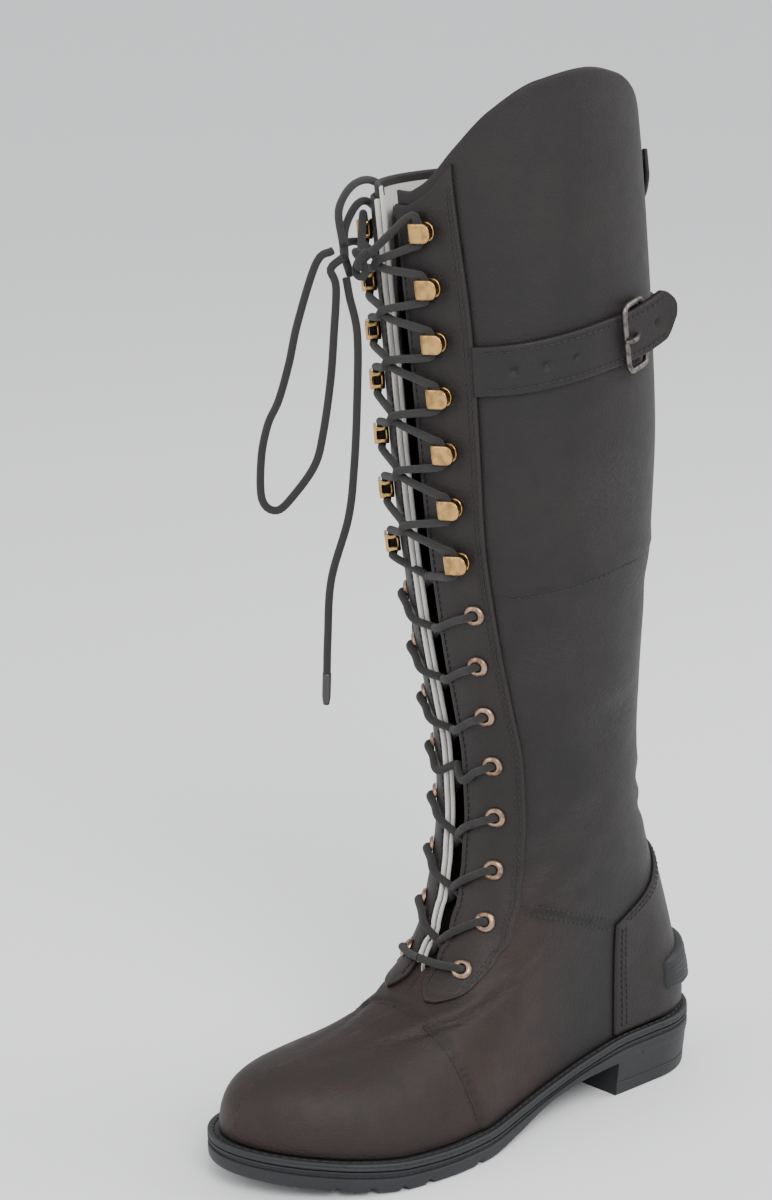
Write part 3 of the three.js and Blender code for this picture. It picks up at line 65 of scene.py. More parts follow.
# Sizes, in millimetres.
SOLE_LENGTH, BALL_WIDTH, HEEL_WIDTH, HEEL_LENGTH, HEEL_RAKE = 265, 100, 68, 66, 2
SEAT_HEIGHT, FOREPART_HEIGHT, TOE_SPRING, WAIST_THICKNESS = 29, 13, 9, 9.5
LUG_DEPTH, LUG_GROOVE, WELT_THICKNESS, WELT_MARGIN = 2.2, 3.2, 3.4, 4
WALL, QUARTER_STEP, TOE_END_ROUND, HEEL_END_ROUND = 2.6, 1.0, 58, 36
ANKLE_HEIGHT, ANKLE_SET, ANKLE_DEPTH, ANKLE_WIDTH = 150, 81, 97, 79
CALF_DEPTH, CALF_WIDTH, SHAFT_LEAN, ANKLE_SIDE_SET, COLLAR_SIDE_SET = 120, 109, 13, 3, 8
COLLAR_HEIGHT, COLLAR_ARCH, THROAT_LEVEL, THROAT_GAP, COLLAR_GAP, THROAT_TURN = 428, 52, 0.44, 8, 16, 15
GAP, SKIN_GAP, FACING_WIDTH, FACING_THICKNESS = 0.3, 0.35, 30, 1.8
COUNTER_THICKNESS, COUNTER_PEAK, COUNTER_FRONT = 1.5, 113, -33
EYELET_COUNT, EYELET_PITCH, FITTING_INSET, EYELET_START = 8, 24, 15.5, 0.46
HOOK_COUNT, HOOK_PITCH, HOOK_SET, HOOK_WIDTH, HOOK_LENGTH = 7, 24.2, 2.5, 8.4, 12
LACE_DIAMETER = 3.6
STRAP_WIDTH, STRAP_THICKNESS, STRAP_HEIGHT, STRAP_RISE = 22, 2.4, 352, 10
ZIP_WIDTH = 9

SOLE_AT = (0, 0.12, 0.22, 0.32, 0.42, 0.52, 0.61, 0.7, 0.77, 0.85, 0.92, 1)
SOLE_BALL = (0, 0, 0.1, 0.24, 0.42, 0.66, 0.88, 0.985, 1, 0.965, 0.92, 0.87)
SOLE_HEEL = (1, 1, 0.85, 0.6, 0.32, 0.12, 0.02, 0, 0, 0, 0, 0)
SOLE_MIDDLE = (0, 0, -0.01, -0.05, -0.08, -0.06, 0, 0.07, 0.13, 0.2, 0.25, 0.28)
SOLE_SEAT = (1, 1, 0.97, 0.78, 0.46, 0.15, 0, 0, 0, 0, 0, 0)
SOLE_FORE = (0, 0, 0.05, 0.2, 0.48, 0.84, 1, 1, 1, 1, 1, 1)
SOLE_SPRING = (0, 0, 0, 0, 0, 0, 0, 0, 0.06, 0.28, 0.58, 1)
SOLE_ARCH = (1, 1, 1, 0.95, 0.7, 0.24, 0, 0, 0, 0, 0, 0)
SOLE_LIFT = (0, 0, 0, 0, 0, 0, 0, 0, 0, 0.22, 0.55, 1)
FOOT_RISE = (0, 0.045, 0.105, 0.174, 0.223, 0.257, 0.274, 0.308, 0.358, 0.43, 0.52, 0.627, 0.775)
FOOT_REACH = (1, 0.998, 0.982, 0.935, 0.86, 0.744, 0.642, 0.471, 0.334, 0.239, 0.15, 0.089, 0.034)
FOOT_TUCK = (0, -0.02, 0.01, 0.07, 0.125, 0.165, 0.19, 0.235, 0.29, 0.37, 0.475, 0.61, 0.8)
FOOT_OVAL = (0, 0, 0, 0, 0.01, 0.02, 0.03, 0.05, 0.09, 0.2, 0.38, 0.62, 0.86)
SHAFT_RISE = (0, 0.08, 0.17, 0.25, 0.33, 0.47, 0.6, 0.73, 0.87, 1)
SHAFT_SWELL = (0, 0.02, 0.2, 0.39, 0.57, 0.85, 1, 1.03, 1.01, 0.96)
SHAFT_LEAN_SHARE = (0, 0.03, 0.14, 0.24, 0.3, 0.36, 0.42, 0.55, 0.77, 1)
COLLAR_TURN = (0, 9, 22, 38, 60, 85, 104, 120, 136, 152, 170, 180)
COLLAR_SHARE = (0, 0.11, 0.38, 0.68, 0.92, 1, 0.93, 0.78, 0.5, 0.2, 0.02, 0)
FACING_LEVEL = (0.372, 0.385, 0.4, 0.42, 0.44, 0.465, 0.5, 0.56, 1.4, 1.6, 1.8, 1.98)
FACING_NEAR = (0.3, 0.2, 0.12, 0.05, 0.04, 0.03, 0.03, 0.03, 0.03, 0.03, 0.03, 0.03)
FACING_FAR = (0.45, 0.66, 0.79, 0.84, 0.87, 0.9, 0.96, 1, 1.03, 1.13, 1.2, 1.3)
FITTING_LEVEL = (0.45, 0.6, 1.1, 1.25, 1.35, 2)
FITTING_SHARE = (0.95, 1.12, 1.12, 1.25, 1.42, 1.45)
VAMP_AHEAD = (0.22, 0.235, 0.28, 0.305, 0.33, 0.325, 0.275, 0.275)
VAMP_RISE = (0, 0.11, 0.23, 0.314, 0.405, 0.455, 0.52, 0.7)
COUNTER_ROUND, COUNTER_SHARE = (0, 0.3, 0.62, 1), (1, 0.97, 0.87, 0.75)
LUG_AT = (0.05, 0.2, 0.63, 0.74, 0.79, 0.84, 0.89)


class Curve:
    """Monotone cubic curve through a short table."""

    def __init__(self, x: Sequence[float], y: Sequence[float]) -> None:
        """Keeps the table and works out its slopes.

        Args:
            x: rising places.
            y: the value at each.
        """
        self.x, self.y = np.array(x, float), np.array(y, float)
        chord = np.diff(self.y) / np.diff(self.x)
        slope = np.empty(len(x))
        slope[0], slope[-1] = chord[0], chord[-1]
        a, b = chord[:-1], chord[1:]
        both = np.where(a * b > 0, a + b, 1)
        slope[1:-1] = np.where(a * b > 0, 2 * a * b / both, 0)
        self.slope = slope

    def __call__(self, at: Points) -> Points:
        """The curve's value.

        Args:
            at: one place or many.

        Returns:
            The value at each.
        """
        v = np.clip(np.asarray(at, float), self.x[0], self.x[-1])
        i = np.clip(np.searchsorted(self.x, v, side="right") - 1, 0, len(self.x) - 2)
        w = self.x[i + 1] - self.x[i]
        t = (v - self.x[i]) / w
        r = 1 - t
        return (
            self.y[i] * (1 + 2 * t) * r * r
            + self.y[i + 1] * t * t * (3 - 2 * t)
            + self.slope[i] * w * t * r * r
            - self.slope[i + 1] * w * t * t * r
        )


def mix(a: Points, b: Points, share: Points) -> Points:
    """The value a share of the way from a to b."""
    return a + (b - a) * share


def ease(share: Points) -> Points:
    """A smooth step from 0 to 1."""
    s = np.clip(share, 0, 1)
    return s * s * (3 - 2 * s)


def bump(x: Points, middle: float, half: float) -> Points:
    """A soft hill, 1 at its middle and 0 past half away."""
    return 1 - ease(np.abs(x - middle) / half)


class Last:
    """The form that the boot is built on, worked out from the sizes above."""

    def __init__(self) -> None:
        """Builds the curves of the sole and of the upper's levels."""
        self.back_x = HEEL_LENGTH / 2 + HEEL_RAKE
        names = ("ball", "heel", "middle", "seat", "fore", "spring", "arch", "lift")
        tables = (
            SOLE_BALL, SOLE_HEEL, SOLE_MIDDLE, SOLE_SEAT, SOLE_FORE, SOLE_SPRING, SOLE_ARCH,
            SOLE_LIFT
        )
        self.sole = {n: Curve(SOLE_AT, t) for n, t in zip(names, tables)}
        self.toe = self.back_x - SOLE_LENGTH + WELT_MARGIN
        self.heel = self.back_x - WELT_MARGIN
        self.ankle_x = self.back_x - ANKLE_SET
        self.front_x = self.ankle_x - ANKLE_DEPTH / 2
        rear = self.ankle_x + ANKLE_DEPTH / 2
        foot = SEAT_HEIGHT + 1.5 * GAP
        rise, swell, lean = map(np.array, (SHAFT_RISE, SHAFT_SWELL, SHAFT_LEAN_SHARE))
        level = list(FOOT_RISE) + list(1 + rise)
        middle = self.ankle_x - SHAFT_LEAN * lean
        depth = mix(ANKLE_DEPTH, CALF_DEPTH, swell)
        self.height = Curve(
            level,
            list(mix(
                foot, ANKLE_HEIGHT, np.array(FOOT_RISE)
            )) + list(mix(ANKLE_HEIGHT, COLLAR_HEIGHT, rise))
        )
        self.front = Curve(
            level,
            list(mix(self.front_x, self.toe, np.array(FOOT_REACH))) + list(middle - depth / 2)
        )
        self.back = Curve(level, list(mix(self.heel, rear, np.array(FOOT_TUCK))) + list(middle + depth / 2))
        self.width = Curve(
            level, [ANKLE_WIDTH] * len(FOOT_RISE) + list(mix(ANKLE_WIDTH, CALF_WIDTH, swell))
        )
        self.side = Curve(
            level,
            [ANKLE_SIDE_SET] * len(FOOT_RISE) + list(mix(ANKLE_SIDE_SET, COLLAR_SIDE_SET, lean))
        )
        self.oval = Curve(level, list(FOOT_OVAL) + [1] * len(rise))
        self.arch = Curve(COLLAR_TURN, COLLAR_SHARE)
        self.retreat = Curve([1 - r for r in FOOT_REACH] + [1], list(FOOT_RISE) + [1])
        self.fitting = Curve(FITTING_LEVEL, FITTING_SHARE)
        self.near = Curve(FACING_LEVEL, FACING_NEAR)
        self.far = Curve(FACING_LEVEL, FACING_FAR)
        self._turns()

    def share(self, x: Points) -> Points:
        """Share of the sole's length at x, from the back."""
        return (self.back_x - x) / SOLE_LENGTH

    def half(self, x: Points) -> Points:
        """Half the width of the sole's outline, before its ends close."""
        s = self.share(x)
        return (self.sole["ball"](s) * BALL_WIDTH + self.sole["heel"](s) * HEEL_WIDTH) / 2

    def middle(self, x: Points) -> Points:
        """Middle of the sole's outline."""
        return self.sole["middle"](self.share(x)) * BALL_WIDTH / 2

    def welt_top(self, x: Points) -> Points:
        """Height of the welt's top."""
        s = self.share(x)
        return (
            self.sole["seat"](s) * SEAT_HEIGHT + self.sole["fore"](s) * FOREPART_HEIGHT
            + self.sole["spring"](s) * TOE_SPRING
        )

    def under(self, x: Points) -> Points:
        """Height of the outsole's underside, without the heel's block."""
        s = self.share(x)
        return (
            self.sole["arch"](s) * (SEAT_HEIGHT - WELT_THICKNESS - WAIST_THICKNESS)
            + self.sole["lift"](s) * TOE_SPRING
        )

    @staticmethod
    def end_round(x: Points, toe: float, back: float) -> Points:
        """How far the rounded ends close the outline, 1 where neither does."""
        a = np.clip(1 - (x - toe) / TOE_END_ROUND, 0, 1)
        b = np.clip(1 - (back - x) / HEEL_END_ROUND, 0, 1)
        return np.sqrt((1 - a * a) * (1 - b * b))

    def outline(self, inset: float, count: int) -> Points:
        """The sole's outline as rows of x and y.

        Args:
            inset: how far in from the edge.
            count: points round it.

        Returns:
            count rows.
        """
        toe, back = self.back_x - SOLE_LENGTH + inset, self.back_x - inset
        t = 2 * np.pi * np.arange(count) / count
        x = mix(toe, back, (1 - np.cos(t)) / 2)
        y = self.middle(x) + np.where(
            t < np.pi, -1, 1
        ) * (self.half(x) - inset) * self.end_round(x, toe, back)
        return np.stack([x, y], -1)

    def body(self, level: Points, turn: Points) -> Points:
        """Points of the upper's outer surface.

        Args:
            level: 0 at the welt, 1 at the ankle, 2 at the level collar.
            turn: radians from the front by the outer side.

        Returns:
            One point for each pair.
        """
        level, turn = np.broadcast_arrays(np.asarray(level, float), np.asarray(turn, float))
        turn = (turn + np.pi) % (2 * np.pi) - np.pi
        front, back, oval = self.front(level), self.back(level), self.oval(level)
        share = (1 - np.cos(turn)) / 2
        x = mix(front, back, share)
        shift = (self.heel - back) * np.clip((x - self.front_x) / (back - self.front_x), 0, 1)
        plan = (self.half(x + shift) - WELT_MARGIN) * self.end_round(x + shift, self.toe, self.heel)
        reach = np.clip((self.front_x - x) / (self.front_x - self.toe), 0, 1)
        behind = np.maximum(0, x - self.front_x)
        top = self.retreat(1 - reach) * (1 + behind * 0.035)
        s = np.clip(level / np.maximum(top, 1e-6), 0, 1)
        foot = plan * np.sqrt(np.maximum(0, 1 - s**2.4))
        along = np.abs(2 * share**0.93 - 1)
        leg = self.width(level) / 2 * np.sqrt(np.maximum(0, 1 - along**2.15))
        half = np.where(np.abs(np.sin(turn)) < 1e-9, 0, mix(foot, leg, oval))
        y = mix(self.middle(x), self.side(level), oval) - np.sign(np.sin(turn)) * half
        sink = (self.welt_top(x) - SEAT_HEIGHT) * (1 - np.minimum(level, 1)) ** 2
        lift = ease((level - 1.66) / 0.34)
        arch = np.where(turn >= 0, self.arch(np.degrees(turn)), 0)
        return np.stack([x, y, self.height(level) + sink + COLLAR_ARCH * arch * lift], -1)

    def normal(self, level: Points, turn: Points) -> Points:
        """The outward normal there."""
        level = np.asarray(level, float)
        up = self.body(np.minimum(level + 0.004, 2), turn) - self.body(np.maximum(level - 0.004, 0), turn)
        n = np.cross(
            self.body(level, np.asarray(turn) + 0.01) - self.body(level, np.asarray(turn) - 0.01),
            up
        )
        return n / np.maximum(np.linalg.norm(n, axis=-1, keepdims=True), 1e-9)

    def skin(self, level: Points, turn: Points, raised: Points) -> Points:
        """Points at a distance outside the surface."""
        r = np.asarray(raised, float)
        return self.body(level, turn) + self.normal(level, turn) * r[..., None]

    def open_share(self, level: Points) -> Points:
        """Share of the way up the opening."""
        return np.clip((np.asarray(level, float) - THROAT_LEVEL) / (2 - THROAT_LEVEL), 0, 1)

    def open_turn(self, level: Points) -> Points:
        """Turn of the opening's middle."""
        return -math.radians(THROAT_TURN) * self.open_share(level)

    def open_half(self, level: Points) -> Points:
        """Half the opening's width."""
        return mix(THROAT_GAP, COLLAR_GAP, self.open_share(level)) / 2

    def _turns(self) -> None:
        """Tables of the turn at each distance round from the opening's middle."""
        self.t_level = np.linspace(0.3, 2, 341)
        self.t_across = np.linspace(-110, 110, 441)
        step = np.linspace(-2.6, 2.6, 1041)
        turn = self.open_turn(self.t_level)[:, None] + step[None, :]
        p = self.body(self.t_level[:, None], turn)
        arc = np.concatenate(
            [np.zeros((len(p), 1)), np.cumsum(np.linalg.norm(np.diff(p, axis=1), axis=-1), 1)], 1
        )
        arc -= arc[:, 520:521]
        self.t_turn = np.array([np.interp(self.t_across, a, t) for a, t in zip(arc, turn)])

    def turn_across(self, level: Points, across: Points) -> Points:
        """The turn at a distance round from the opening's middle, outwards where positive."""
        level, across = np.broadcast_arrays(np.asarray(level, float), np.asarray(across, float))
        a = np.clip((level - 0.3) / 1.7 * 340, 0, 339.999)
        b = np.clip((across + 110) / 220 * 440, 0, 439.999)
        i, j = a.astype(int), b.astype(int)
        u, v, t = a - i, b - j, self.t_turn
        return (t[i, j] * (1 - u) + t[i + 1, j] * u) * (1 - v) + (t[i, j + 1] * (1 - u) + t[
            i + 1, j + 1
        ] * u) * v

    def spot(self, level: Points, across: Points, raised: Points) -> Points:
        """Points beside the opening, across from its middle and raised above the surface."""
        return self.skin(level, self.turn_across(level, across), raised)

    def level_up(self, level: float, distance: float) -> float:
        """The level a distance further up the opening."""
        t = self.open_turn
        a, b = self.body(level + 0.002, t(level + 0.002)), self.body(level - 0.002, t(level - 0.002))
        return level + distance * 0.004 / float(np.linalg.norm(a - b))

    def inset(self, level: Points) -> Points:
        """Distance of the eyelets' line from the opening's edge."""
        return FITTING_INSET * self.fitting(level)

    def pitched(self, start: float, count: int, pitch: float) -> list[float]:
        """Levels a pitch apart along the eyelets' line.

        Args:
            start: level of the first.
            count: how many.
            pitch: millimetres between them.

        Returns:
            The levels.
        """
        out = [start]
        while len(out) < count:
            grid = out[-1] + 0.002 * np.arange(400)
            p = self.spot(grid, self.open_half(grid) + self.inset(grid), np.zeros_like(grid))
            far = np.linalg.norm(p - p[0], axis=1)
            out.append(float(grid[far >= pitch][0]))
        return out

    def level_at(self, height: float, turn: float) -> float:
        """The level at a height on the line of a turn."""
        grid = np.linspace(0, 2, 2001)
        z = self.body(grid, np.full_like(grid, turn))[:, 2]
        return float(np.interp(height, z, grid))

    def seat(self, level: float, side: Side, inset: float, raised: float) -> Matrix:
        """A seat beside the opening as a matrix in metres: X away from it, Y up along it, Z outwards.

        Args:
            level: the seat's level.
            side: outer or inner.
            inset: distance from the opening's edge.
            raised: height above the surface.

        Returns:
            The matrix; its X is mirrored on the inner side.
        """
        turn = float(self.turn_across(level, side.value * (self.open_half(level) + inset)))
        n = Vector(self.normal(level, turn))
        t = self.open_turn
        along = Vector(self.body(
            level + 0.004, t(level + 0.004)
        ) - self.body(level - 0.004, t(level - 0.004)))
        up = (along - n * along.dot(n)).normalized()
        away = up.cross(n) * side.value
        m = Matrix((away, up, n)).transposed().to_4x4()
        m.translation = Vector(self.skin(level, turn, raised)) * MM
        return m


LAST = Last()
EYELET_LEVELS = LAST.pitched(EYELET_START, EYELET_COUNT, EYELET_PITCH)
HOOK_LEVELS = LAST.pitched(EYELET_LEVELS[-1], HOOK_COUNT + 1, HOOK_PITCH)[1:]
FACE_RAISE = SKIN_GAP + FACING_THICKNESS


class Sock:
    """A shader socket with the arithmetic of Python expressions."""

    def __init__(self, graph: "Graph", out: bpy.types.NodeSocket) -> None:
        """Wraps an output socket of a graph."""
        self.graph, self.out = graph, out

    def _op(self, name: str, a: object, b: object = None, c: object = None) -> "Sock":
        """Adds a Math node and returns its value."""
        values = {i: v for i, v in enumerate((a, b, c)) if v is not None}
        return self.graph.node("ShaderNodeMath", {"operation": name}, values)[0]

    def __add__(self, other: object) -> "Sock":
        """self + other"""
        return self._op("ADD", self, other)

    __radd__ = __add__

    def __mul__(self, other: object) -> "Sock":
        """self * other"""
        return self._op("MULTIPLY", self, other)

    __rmul__ = __mul__

    def __sub__(self, other: object) -> "Sock":
        """self - other"""
        return self._op("SUBTRACT", self, other)

    def __rsub__(self, other: object) -> "Sock":
        """other - self"""
        return self._op("SUBTRACT", other, self)

    def __pow__(self, other: object) -> "Sock":
        """self to the power of other"""
        return self._op("POWER", self, other)

    def step(self, low: float, high: float) -> "Sock":
        """A smooth step from 0 at low to 1 at high."""
        sock = self.graph.node(
            "ShaderNodeMapRange",
            {"interpolation_type": "SMOOTHSTEP"},
            {"Value": self, "From Min": low, "From Max": high},
        )
        return sock[0]

    def clip(self) -> "Sock":
        """self held between 0 and 1"""
        return self.graph.node("ShaderNodeClamp", {}, {"Value": self})[0]


class Graph:
    """A material's node graph."""

    def __init__(self, name: str) -> None:
        """Starts a material with an empty graph."""
        self.material = bpy.data.materials.new(name)
        self.material.use_nodes = True
        self.tree = self.material.node_tree
        self.tree.nodes.clear()

    def node(self, kind: str, settings: dict, values: dict) -> list[Sock]:
        """Adds a node.

        Args:
            kind: its type.
            settings: its properties, set first; "stops" holds a ramp's places and colours.
            values: numbers, colours or links for its sockets, by name or index.

        Returns:
            Its outputs.
        """
        n = self.tree.nodes.new(kind)
        for key, value in settings.items():
            if key == "stops":
                ramp = n.color_ramp
                while len(ramp.elements) < len(value):
                    ramp.elements.new(0.5)
                for e, (at, colour) in zip(ramp.elements, value):
                    e.position, e.color = at, (*colour, 1)
            else:
                setattr(n, key, value)
        for key, value in values.items():
            self.put(n.inputs[key], value)
        return [Sock(self, o) for o in n.outputs if o.enabled]

    def put(self, socket: bpy.types.NodeSocket, value: object) -> None:
        """Links or sets a socket."""
        if isinstance(value, Sock):
            self.tree.links.new(value.out, socket)
        elif isinstance(value, tuple) and socket.type == "RGBA":
            socket.default_value = (*value, 1)
        else:
            socket.default_value = value

    def place(self, scale: Sequence[float] = (1, 1, 1), turn: Sequence[float] = (0, 0, 0)) -> Sock:
        """Object coordinates in metres, scaled and turned."""
        where = self.node("ShaderNodeTexCoord", {}, {})[3]
        return self.node("ShaderNodeMapping", {}, {"Vector": where, "Scale": scale, "Rotation": turn})[0]

    def noise(
        self, scale: float, detail: float = 3, rough: float = 0.5, at: Optional[Sock] = None,
        warp: float = 0
    ) -> Sock:
        """Noise between 0 and 1."""
        out = self.node(
            "ShaderNodeTexNoise",
            {},
            {
                "Vector": at or self.place(), "Scale": scale, "Detail": detail, "Roughness": rough,
                "Distortion": warp
            },
        )
        return out[0]

    def cells(self, scale: float, feature: str = "DISTANCE_TO_EDGE", at: Optional[Sock] = None) -> Sock:
        """Distance in a cell pattern."""
        out = self.node(
            "ShaderNodeTexVoronoi", {"feature": feature},
            {"Vector": at or self.place(), "Scale": scale}
        )
        return out[0]

    def waves(self, scale: float, at: Sock, warp: float = 0, bands: str = "X") -> Sock:
        """Waves along an axis."""
        out = self.node(
            "ShaderNodeTexWave",
            {"wave_type": "BANDS", "bands_direction": bands},
            {"Vector": at, "Scale": scale, "Distortion": warp},
        )
        return out[1]

    def painted(self, name: str) -> Sock:
        """A value painted on the mesh."""
        return self.node("ShaderNodeAttribute", {"attribute_name": name}, {})[2]

    def blend(self, share: object, a: object, b: object, how: str = "MIX") -> Sock:
        """A colour between a and b."""
        out = self.node(
            "ShaderNodeMix",
            {"data_type": "RGBA", "blend_type": how, "clamp_factor": True},
            {0: share, 6: a, 7: b},
        )
        return out[0]

    def relief(
        self, height: Sock, depth: float, strength: float = 1.0, under: Optional[Sock] = None
    ) -> Sock:
        """A bump of a depth in metres."""
        values = {"Height": height, "Distance": depth, "Strength": strength}
        if under is not None:
            values["Normal"] = under
        return self.node("ShaderNodeBump", {}, values)[0]

    def finish(self, **values: object) -> bpy.types.Material:
        """Adds the surface shader and the output.

        Args:
            values: the shader's sockets, with _ for a space.

        Returns:
            The material.
        """
        shader = self.node(
            "ShaderNodeBsdfPrincipled", {}, {k.replace("_", " "): v for k, v in values.items()}
        )
        self.node("ShaderNodeOutputMaterial", {}, {"Surface": shader[0]})
        return self.material


@dataclass(frozen=True)
class Leather:
    """Waxed leather with grain, mottling, rubbed edges and creases, a painted toe highlight and painted
    shade.
    """

    name: str
    cool: tuple[float, float, float]
    warm: tuple[float, float, float]
    light: tuple[float, float, float]
    rough: float = 0.58
    coat: float = 0.04
    grain: float = 0.00026

    def make(self) -> bpy.types.Material:
        """Builds the material; warm parts, creases, rubbed places with a painted toe highlight, and painted
        shade in seams, grooves and holes are values painted on the mesh.
        """
        g = Graph(self.name)
        broad = g.noise(14, 4, 0.55, warp=0.6)
        fine = g.noise(95, 5, 0.62)
        fibre = g.noise(420, 4, 0.7)
        streak = g.noise(60, 4, 0.6, at=g.place((1, 1, 0.18)))
        base = g.blend((g.painted("warm") + (broad - 0.5) * 0.5).clip(), self.cool, self.warm)
        base = g.blend(
            (broad.step(0.42, 0.75) * 0.35 + streak.step(0.5, 0.8) * 0.2).clip(), base, self.light
        )
        base = g.blend((fine.step(0.35, 0.75) * 0.45).clip(), base, (0.007, 0.0062, 0.0062))
        # lighter where rubbed in creases and at edges, plus a painted highlight on the top of the toe
        wear_and_highlight_share = (g.painted("wear") * (fine + 0.35)).clip()
        base = g.blend(wear_and_highlight_share * 0.45, base, tuple(min(1, c * 1.5 + 0.004) for c in self.light))
        # painted shade: darker in seams, stitch grooves and strap holes, and where the upper meets the welt
        base = g.blend(g.painted("dark").clip() * 0.8, base, (0.003, 0.0028, 0.003))
        pebble = g.cells(620)
        pore = g.cells(1900, "F1")
        height = pebble.step(0, 0.35) * 0.6 + pore * 0.35 + fine * 0.8 + fibre * 0.4
        wrinkle = g.noise(170, 3, 0.6, at=g.place((1, 1, 2.2)), warp=1.2)
        height = height + wrinkle.step(0.35, 0.7) * (g.painted("crease") * 2.5 + 0.35)
        normal = g.relief(height, self.grain, 0.55)
        roughness = (self.rough + (fine - 0.5) * 0.22 + (broad - 0.5) * 0.16 + wear_and_highlight_share * 0.1).clip()
        return g.finish(
            Base_Color=base,
            Roughness=roughness,
            Normal=normal,
            Coat_Weight=self.coat,
            Coat_Roughness=0.4,
            IOR=1.38,
        )


@dataclass(frozen=True)
class Rubber:
    """Moulded rubber with a matt skin, dust and scuffs."""

    name: str = "sole rubber"
    colour: tuple[float, float, float] = (0.006, 0.0072, 0.009)

    def make(self) -> bpy.types.Material:
        """Builds the material."""
        g = Graph(self.name)
        cloud, fine = g.noise(26, 4, 0.6), g.noise(700, 4, 0.65)
        scuff = g.noise(150, 5, 0.7, at=g.place((0.4, 0.4, 1.6)))
        base = g.blend(cloud.step(0.4, 0.8) * 0.5, self.colour, tuple(c * 1.9 for c in self.colour))
        base = g.blend(scuff.step(0.6, 0.85) * 0.3, base, (0.045, 0.045, 0.045))
        # painted shade: darker where the mesh's values say, such as the band in from the spur pad's border
        base = g.blend(g.painted("dark").clip(), base, (0.004, 0.004, 0.005))
        normal = g.relief(fine * 0.6 + scuff.step(0.55, 0.8), 0.00012, 0.5)
        return g.finish(Base_Color=base, Roughness=(0.62 + (fine - 0.5) * 0.25).clip(), Normal=normal)


@dataclass(frozen=True)
class Metal:
    """Plated and antiqued metal, stained in patches."""

    name: str
    bright: tuple[float, float, float]
    dark: tuple[float, float, float]
    rough: float = 0.32
    age: float = 0.5

    def make(self) -> bpy.types.Material:
        """Builds the material."""
        g = Graph(self.name)
        cloud, fine = g.noise(220, 4, 0.6), g.noise(1400, 4, 0.7)
        stain = (cloud.step(0.42, 0.68) * self.age + fine.step(0.5, 0.75) * self.age * 0.5).clip()
        base = g.blend(stain, self.bright, self.dark)
        normal = g.relief(fine + cloud, 0.00004, 0.5)
        return g.finish(
            Base_Color=base, Metallic=1.0, Roughness=(stain * 0.25 + self.rough).clip(),
            Normal=normal
        )


@dataclass(frozen=True)
class Woven:
    """Woven, braided or felted textile."""

    name: str
    colour: tuple[float, float, float]
    light: tuple[float, float, float]
    thread: float = 900
    depth: float = 0.00025
    fuzz: float = 0.25

    def make(self) -> bpy.types.Material:
        """Builds the material."""
        g = Graph(self.name)
        a = g.waves(self.thread / 6.3, g.place(turn=(0.5, 0.4, 0.78)), 0.6)
        b = g.waves(self.thread / 6.3, g.place(turn=(-0.5, 0.4, -0.78)), 0.6, "Y")
        fluff, cloud = g.noise(self.thread * 1.6, 5, 0.75), g.noise(38, 4, 0.6)
        weave = a * 0.5 + b * 0.5
        base = g.blend((weave * 0.6 + fluff.step(0.4, 0.75) * 0.4).clip(), self.colour, self.light)
        base = g.blend(cloud.step(0.45, 0.75) * 0.3, base, tuple(c * 0.6 for c in self.colour))
        normal = g.relief(weave * (1 - self.fuzz) + fluff * self.fuzz * 2, self.depth, 0.8)
        return g.finish(
            Base_Color=base, Roughness=0.92, Normal=normal, Sheen_Weight=0.08, Sheen_Roughness=0.5
        )


@dataclass(frozen=True)
class Plain:
    """A smooth plastic or a sewing thread with a faint mottle."""

    name: str
    colour: tuple[float, float, float]
    rough: float = 0.5

    def make(self) -> bpy.types.Material:
        """Builds the material."""
        g = Graph(self.name)
        n = g.noise(500, 4, 0.6)
        base = g.blend(n * 0.6, self.colour, tuple(c * 1.7 + 0.003 for c in self.colour))
        return g.finish(
            Base_Color=base, Roughness=(self.rough + (n - 0.5) * 0.2).clip(),
            Normal=g.relief(n, 0.00005, 0.5)
        )


class Finishes:
    """All materials, built once."""

    def __init__(self) -> None:
        """Builds them."""
        self.shaft = Leather(
            "waxed shaft leather", (0.0072, 0.0064, 0.0064), (0.0185, 0.0082, 0.0062),
            (0.017, 0.0145, 0.0135)
        ).make()
        self.trim = Leather(
            "facing leather", (0.0078, 0.0063, 0.006), (0.0165, 0.009, 0.0068),
            (0.019, 0.015, 0.0132), 0.56, 0.04
        ).make()
        self.tongue = Leather(
            "tongue leather", (0.013, 0.01, 0.009), (0.018, 0.011, 0.009), (0.022, 0.017, 0.015),
            0.6, 0.05
        ).make()
        self.lining = Woven("felt lining", (0.5, 0.485, 0.45), (0.72, 0.7, 0.66), 1500, 0.0003, 0.8).make()
        self.rubber = Rubber().make()
        self.welt = Rubber("welt rubber", (0.0075, 0.0078, 0.0086)).make()
        self.copper = Metal("antique copper", (0.36, 0.24, 0.17), (0.08, 0.05, 0.035), 0.32, 0.8).make()
        self.brass = Metal("antique brass", (0.54, 0.33, 0.12), (0.2, 0.105, 0.045), 0.26, 0.6).make()
        self.steel = Metal(
            "dark buckle metal", (0.17, 0.155, 0.14), (0.035, 0.031, 0.028), 0.36, 0.8
        ).make()
        self.lace = Woven(
            "braided lace", (0.0085, 0.0076, 0.0072), (0.028, 0.0255, 0.024), 2600, 0.0004, 0.4
        ).make()
        self.tape = Woven("zip tape", (0.012, 0.012, 0.013), (0.03, 0.03, 0.032), 2400, 0.0002, 0.3).make()
        self.thread = Plain("sewing thread", (0.009, 0.0078, 0.0075), 0.7).make()
        self.hard = Plain("aglet plastic", (0.02, 0.019, 0.019), 0.35).make()


